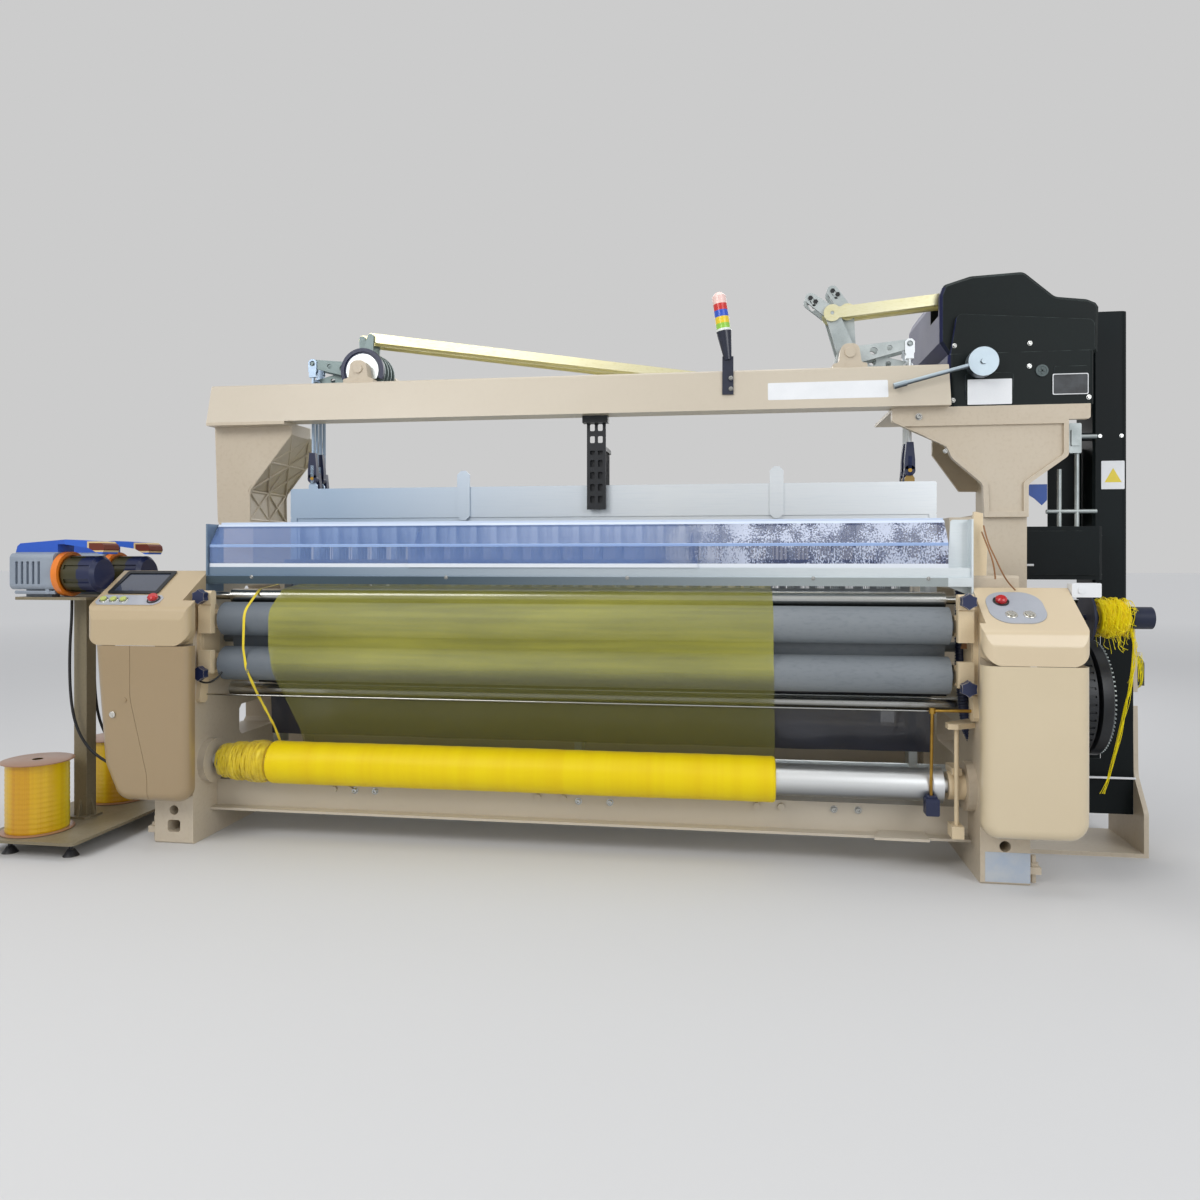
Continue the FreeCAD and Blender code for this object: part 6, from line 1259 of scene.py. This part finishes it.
# %% [markdown]
# The right desk carries a silver-grey panel with two ringed buttons and an emergency stop. The
# panel is a thin plate with round holes, so the pressed buttons pass through it.

# %% A plate with round holes, lying on a sloped desk


def pierced(outline, holes, low, high, place):
    """A plate between two heights with round holes given as (u, v, radius)."""
    loops = [outline] + [ring_points(*hole) for hole in holes]
    flat = [point for loop in loops for point in loop]
    count = len(flat)
    cap = tessellate_polygon([[Vector((u, v, 0)) for u, v in loop] for loop in loops])
    corners = [at(*(place @ Vector((u, v, h)))) for h in (low, high) for u, v in flat]
    faces = [tuple(face) for face in cap] + [tuple(i + count for i in face) for face in cap]
    start = 0
    for loop in loops:
        size = len(loop)
        for i in range(size):
            a, b = start + i, start + (i + 1) % size
            faces.append((a, b, b + count, a + count))
        start += size
    return corners, faces


def tidy(made):
    """Make every face of a closed piece look outwards."""
    form = bmesh.new()
    form.from_mesh(made.data)
    bmesh.ops.recalc_face_normals(form, faces=form.faces)
    form.to_mesh(made.data)
    form.free()


def desk_place(front_y, front_z, rise, run):
    """Placement whose X runs along the loom and Y up the desk's slope."""
    slope = math.atan2(rise, run) + math.radians(1.2)
    return Matrix.Translation((0, front_y, front_z)) @ Matrix.Rotation(slope, 4, "X")


RIGHT_SLOPE = desk_place(-96, 786, 127, 200)
LEFT_SLOPE = desk_place(-100, 836, 126, 204)
panel_grey = finish("silver_grey_panel", PANEL_GREY, srgb(150, 156, 166), 0.36, scale=14,
                    grain_depth=0.05, Coat_Weight=0.3)
panel = pierced(rounded(1339, 40, 1505, 200, 60, 10),
                [(1385, 150, 18.5), (1400, 82, 12.2), (1452, 82, 12.2)], 0.1, 2.8, RIGHT_SLOPE)
tidy(fitting("right_control_panel", [panel], panel_grey, "galvanised", smooth=False))


def button_ring(place, u, v, inner, outer, low, height):
    """Bright collar round a push button."""
    profile = [(low, inner), (height, inner), (height, outer - 1), (height - 1, outer),
               (low, outer), (low, inner)]
    return lathe(profile, place @ Matrix.Translation((u, v, 0)), 36)


collars = [button_ring(RIGHT_SLOPE, u, 82, 12.4, 18, 2.8, 5.5) for u in (1400, 1452)]
collars += [button_ring(LEFT_SLOPE, -1612 + 38 * i, 42, 12.4, 15.5, 1.6, 4.2) for i in range(3)]
fitting("button_collars", collars, steel_button, "silver_button")
collars = [button_ring(RIGHT_SLOPE, 1385, 150, 18.6, 24, 2.8, 6),
           button_ring(LEFT_SLOPE, -1425, 46, 18.6, 23, 1.6, 4.6)]
fitting("stop_collars", collars, black_plastic, "black_plastic")

# %% Small parts of the left desk: the screen's frame and the door lock
frame_outline = rounded(-1624, 80, -1430, 221, 8, 6)
opening = rounded(-1609, 95, -1445, 206, 3, 6)
rim = [at(*(LEFT_SLOPE @ Vector((u, v, h))))
       for h in (3.2, 5.4) for u, v in frame_outline + opening]
size = len(frame_outline)
rim_faces = []
for i in range(size):
    j = (i + 1) % size
    rim_faces += [(i + low, j + low, j + high, i + high)
                  for low, high in ((0, size), (2 * size, 3 * size), (0, 2 * size),
                                    (size, 3 * size))]
tidy(fitting("screen_bezel", [(rim, rim_faces)], black_plastic, "black_plastic", smooth=False))
door_lock = [lathe([(0, 11), (2, 11), (3, 9), (3, 0)], front(-1545, -112.5, 470), 24),
             plate(rounded(-1547, 462, -1543, 478, 1.5), 3, 4.5, -112.5)]
fitting("door_lock", door_lock, steel_button, "bright_steel", "left_door")

# %% [markdown]
# Behind the cloth hangs a plastic sheet that catches the drips, from the take-up roller down past
# the cloth roll; it is coloured near black as painted shade for the dark space behind the cloth. It
# is thin and soft, so it sways a little along its width.

# %% Drip curtain
curtain_points = [(296, 620), (297, 590), (293, 560), (290, 520), (288, 480), (290, 440),
                  (293, 400), (296, 360), (298, 340)]
curtain_lengths = running_lengths(curtain_points)


def sway(x, run):
    """Soft vertical folds, growing towards the free lower edge."""
    return (run / 280) * (5 * math.sin(x / 97) + 3 * math.sin(x / 41 + 1))


curtain_shade_sheet = clear_sheet("curtain_painted_shade", srgb(38, 41, 52), srgb(60, 65, 84), 0.9, rough=0.3)
curtain = band("drip_curtain", curtain_points, curtain_lengths, [(0, -1180), (999, -1180)],
               [(0, 1236), (999, 1236)], 240, curtain_shade_sheet, sway, "black_plastic", ())
fitting("curtain_rod", [lathe([(-1270, 0), (-1270, 7), (1270, 7), (1270, 0)],
                              facing("X", (0, 304, 620)), 24)], dark_steel, "bright_steel")
print("drip curtain", round(curtain_lengths[-1]), "mm high")

# %% [markdown]
# Brass washers sit where the rods join the levers, bolts close the slotted ends of the dobby
# levers, and a slotted half drum stands half hidden behind the left shaft's front bearing.

# %% Washers and bolts of the lever linkage, each on the body that it moves with
DOBBY_PINS = {"a": (919.3, 1900.4), "b": (976.8, 1910.0)}
TOP_ENDS = {"a": (842.1, 1959.4), "b": (924.5, 1991.9)}


def washer(x, y, z, radius, thick):
    """Round washer with a dark bolt head, facing the viewer from plane y."""
    return lathe([(0, 7), (0, radius), (thick, radius), (thick, 7)], front(x, y, z), 40)


for letter, planes in HEALD_PLANES.items():
    x, z = DOBBY_PINS[letter]
    discs = [washer(x, y - 11.6, z, 31, 3.0) for y in planes]
    fitting("rod_washers_" + letter, discs, zinc_yellow, "zinc_yellow",
            f"dobby_rods_{letter}_body")
    x, z = TOP_ENDS[letter]
    bolts = [plate(ring_points(x + dx, z + dz, 9, 6), 0, 5, y - 4)
             for y in planes for dx, dz in ((0, 0), (18, -14))]
    fitting("lever_bolts_" + letter, bolts, dark_steel, "bright_steel",
            f"right_levers_{letter}_body")

# %% Tapered boots on the heald frames' hangers
for letter, planes in HEALD_PLANES.items():
    boots, pins = [], []
    low = HEALD_TOPS[letter] + 44
    for x in HANGER_X:
        for y in planes:
            outline = [(x - 18, low), (x + 18, low), (x + 18, low + 34), (x + 12, low + 98),
                       (x - 12, low + 98), (x - 18, low + 34)]
            boots.append(plate(outline, -11, 11, y))
            boots.append(plate(ring_points(x, low - 4, 19), -11, 11, y))
            pins.append(plate(ring_points(x, low - 4, 7, 16), 11, 13, y))
    body = f"heald_frames_{letter}_body"
    fitting("hanger_boots_" + letter, boots, navy_plastic, "black_plastic", body)
    fitting("hanger_pins_" + letter, pins, brass, "zinc_yellow", body)

# %% A slotted half drum behind the left shaft's front bearing
DRUM_X, DRUM_Z = -875.3, 1742
DRUM_PLANE = 434
BEAM_TOP = 1700


def arc(radius, angles):
    """The part of a circle round the drum's middle that stands above the beam."""
    points = [(radius * math.cos(math.radians(a)) + DRUM_X,
               radius * math.sin(math.radians(a)) + DRUM_Z) for a in angles]
    return [point for point in points if point[1] > BEAM_TOP]


drum = [plate(arc(outer, range(-24, 205, 6)) + arc(inner, range(204, -25, -6)), low, high,
              DRUM_PLANE) for inner, outer, low, high in ((74, 88, -7, 7), (26, 74, -2, 2))]
fitting("brake_drum", drum, navy_plastic, "bright_steel", smooth=False)
fitting("drum_face", [plate(arc(66, range(-30, 211, 6)), 2.0, 4.0, DRUM_PLANE)], galvanised,
        "galvanised", smooth=False)

# %% [markdown]
# The last small parts stand at the left post and at the machine's right end: the lattice ribs of
# the casting, a blue sheet-metal part, dark sheets as painted shade, rods and a toothed wheel in the
# drive's gap, a plate on the foot and two thin wires.

# %% Web and ribs on the inner side of the left post
WEB = [(-1335, 1160), (-1337, 1274), (-1248, 1386), (-1159, 1496)]
web = plate(WEB + [(x - 5, z + 3) for x, z in reversed(WEB)], -700, -562, 0)
rib_routes = [[(x + 2, y, z) for x, z in WEB] for y in (404, 552, 696)]
rib_routes += [[(x + 2, 404, z), (x + 2, 696, z)] for x, z in WEB[:3]]
for (x0, z0), (x1, z1) in zip(WEB, WEB[1:]):
    for y0, y1 in ((404, 552), (552, 404), (552, 696), (696, 552)):
        rib_routes.append([(x0 + 2, y0, z0), (x1 + 2, y1, z1)])
fitting("left_post_ribs", [web, swept(rib_routes, 5, 2, order=2)], cast_paint, "beige_paint")

# %% A dark sheet as painted shade, and a blue sheet and rods, in the gap beside the drive guard
fitting("gap_shade_sheet", [plate(rounded(1740, 1122, 1861, 1420, 6), 0, 3, 700)], guard_paint,
        "black_paint", smooth=False)
fitting("blue_sheet", [plate([(1586, 1273), (1680, 1273), (1680, 1216), (1662, 1197),
                              (1636, 1222), (1586, 1256)], 0, 2, 520)],
        finish("blue_enamel", srgb(26, 80, 168), srgb(20, 62, 136), 0.35, scale=9),
        "black_paint", smooth=False)
rods = swept([[(1735, 560, 1121), (1735, 560, 1330)], [(1795, 560, 1121), (1795, 560, 1386)],
              [(1690, 560, 1176), (1862, 560, 1176)], [(1772, 560, 1447), (1862, 560, 1447)]],
             8, 3, order=2)
fitting("shedding_rods", [rods, plate(rounded(1762, 1386, 1804, 1494, 4), -20, 20, 560),
                          plate(rounded(1768, 1412, 1798, 1470, 3), 20, 26, 560)],
        cast_silver, "galvanised")
fitting("thin_rods", [swept([[(1573, 492, 982), (1626, 492, 982)],
                             [(1690, 392, 252), (1924, 392, 252)]], 4, 2, order=2)],
        white_plastic, "galvanised")

# %% Wheel of the main drive, and two dark sheets behind it as painted shade, in the gap beside the right cover
SHAFT = facing("X", (0, 470, 520))
wheel_profile = [(1772, 54), (1772, 196), (1776, 203), (1808, 203), (1812, 198), (1812, 184),
                 (1806, 180), (1806, 54)]
TEETH = 80
teeth = [slab([(184, -2.5), (199, -2.5), (199, 2.5), (184, 2.5)], 1812, 1818,
              SHAFT @ Matrix.Rotation(math.radians(360 / TEETH * k), 4, "Z")) for k in range(TEETH)]
fitting("drive_wheel", [lathe(wheel_profile, SHAFT)], black_plastic, "black_plastic",
        "main_drive")
fitting("wheel_teeth", teeth, cast_silver, "cast_silver", "main_drive", smooth=False)
near_shade_sheet = [(1819.5, 840), (1924, 840), (1924, 124), (1700, 124), (1700, 314), (1819.5, 314)]
far_shade_sheet = [(1760, 850), (1924, 850), (1924, 190), (1760, 190)]
fitting("drive_shade_sheets", [plate(near_shade_sheet, 0, 2, 412), plate(far_shade_sheet, 0, 2, 694)],
        guard_paint, "black_paint", smooth=False)

# %% Bare plate on the right foot, a cast stop beside the rail, wires behind the right desk
fitting("foot_plate", [plate(rounded(1331, 8, 1463, 100, 2), 0, 1.0, -0.1)],
        finish("faded_plate", srgb(168, 180, 196), srgb(190, 194, 196), 0.4, scale=20, clouds=0.8),
        "galvanised", smooth=False)
fitting("rail_stop", [plate([(1317.5, 945), (1366, 950), (1370, 1060), (1356, 1078), (1356, 1150),
                             (1330, 1156), (1317.5, 1060)], -22, 0, 118)],
        bracket_paint, "beige_paint", smooth=False)
wires = [[(1352, 96, 1110), (1358, 80, 1060), (1376, 60, 1010), (1392, 40, 960), (1420, 66, 925),
          (1440, 70, 905)], [(1346, 96, 1090), (1362, 70, 1030), (1372, 50, 980), (1378, 62, 940)]]
for name, route in zip(("desk_wire_a", "desk_wire_b"), wires):
    free_cord(name, route, 2.4, brown_paint)

# %% [markdown]
# Plain, even light: a big soft lamp from the front left, a weaker one from the right, one from
# above and one behind. The world adds a level grey. The camera, and anything glossy or clear, sees
# the same pale backdrop colour, so metal and glass reflect a bright room.

# %% Floor, backdrop and lamps
FLOOR_SIZE = 140.0
floor_mesh = bpy.data.meshes.new("floor")
half = FLOOR_SIZE / 2
floor_mesh.from_pydata([(-half, -half, 0), (half, -half, 0), (half, half, 0), (-half, half, 0)],
                       [], [(0, 1, 2, 3)])
in_scene("floor", floor_mesh)
floor_material, tree, shader = new_material("pale_floor")
reach = node(tree, "VectorMath", {0: place_of(tree)}, operation="LENGTH").outputs["Value"]
BACKDROP = srgb(204, 204, 204)
fill(tree, shader, Base_Color=srgb(214, 214, 214), Roughness=0.9, Specular_IOR_Level=0.1,
     Emission_Color=BACKDROP, Emission_Strength=ramp(tree, reach, 2.5, 14.0, 0.0, 0.3))
floor_mesh.materials.append(floor_material)

world = bpy.data.worlds.new("studio")
bpy.context.scene.world = world
world.use_nodes = True
tree = world.node_tree
tree.nodes.clear()
path = node(tree, "LightPath").outputs
seen = combine(tree, "MAXIMUM", path["Is Camera Ray"], path["Is Glossy Ray"])
seen = combine(tree, "MAXIMUM", seen, path["Is Transmission Ray"])
shown = node(tree, "Background", {"Color": BACKDROP, "Strength": 1.0})
ambient = node(tree, "Background", {"Color": srgb(228, 230, 234), "Strength": 0.72})
chosen = node(tree, "MixShader", {0: seen})
tree.links.new(ambient.outputs[0], chosen.inputs[1])
tree.links.new(shown.outputs[0], chosen.inputs[2])
world_output = tree.nodes.new("ShaderNodeOutputWorld")
tree.links.new(chosen.outputs[0], world_output.inputs["Surface"])

LAMP_TARGET = Vector((0, 0, 0.9))
LAMPS = (  # name, place, size, power, colour
    ("key", (-2.6, -4.6, 3.9), 2.4, 105, (1.0, 0.98, 0.95)),
    ("fill", (3.6, -4.2, 2.6), 2.6, 64, (0.95, 0.97, 1.0)),
    ("top", (0.2, -0.4, 4.6), 3.5, 50, (1, 1, 1)),
    ("back", (0.5, 4.2, 3.4), 3.0, 70, (1, 1, 1)),
)
for name, place, size, power, colour in LAMPS:
    lamp_data = bpy.data.lights.new(name, "AREA")
    lamp_data.size = size
    lamp_data.energy = power
    lamp_data.color = colour
    lamp = in_scene(name, lamp_data)
    lamp.location = place
    lamp.rotation_euler = (LAMP_TARGET - Vector(place)).to_track_quat("-Z", "Y").to_euler()
bpy.context.scene.view_settings.view_transform = "Standard"
print("lamps", [lamp[0] for lamp in LAMPS])
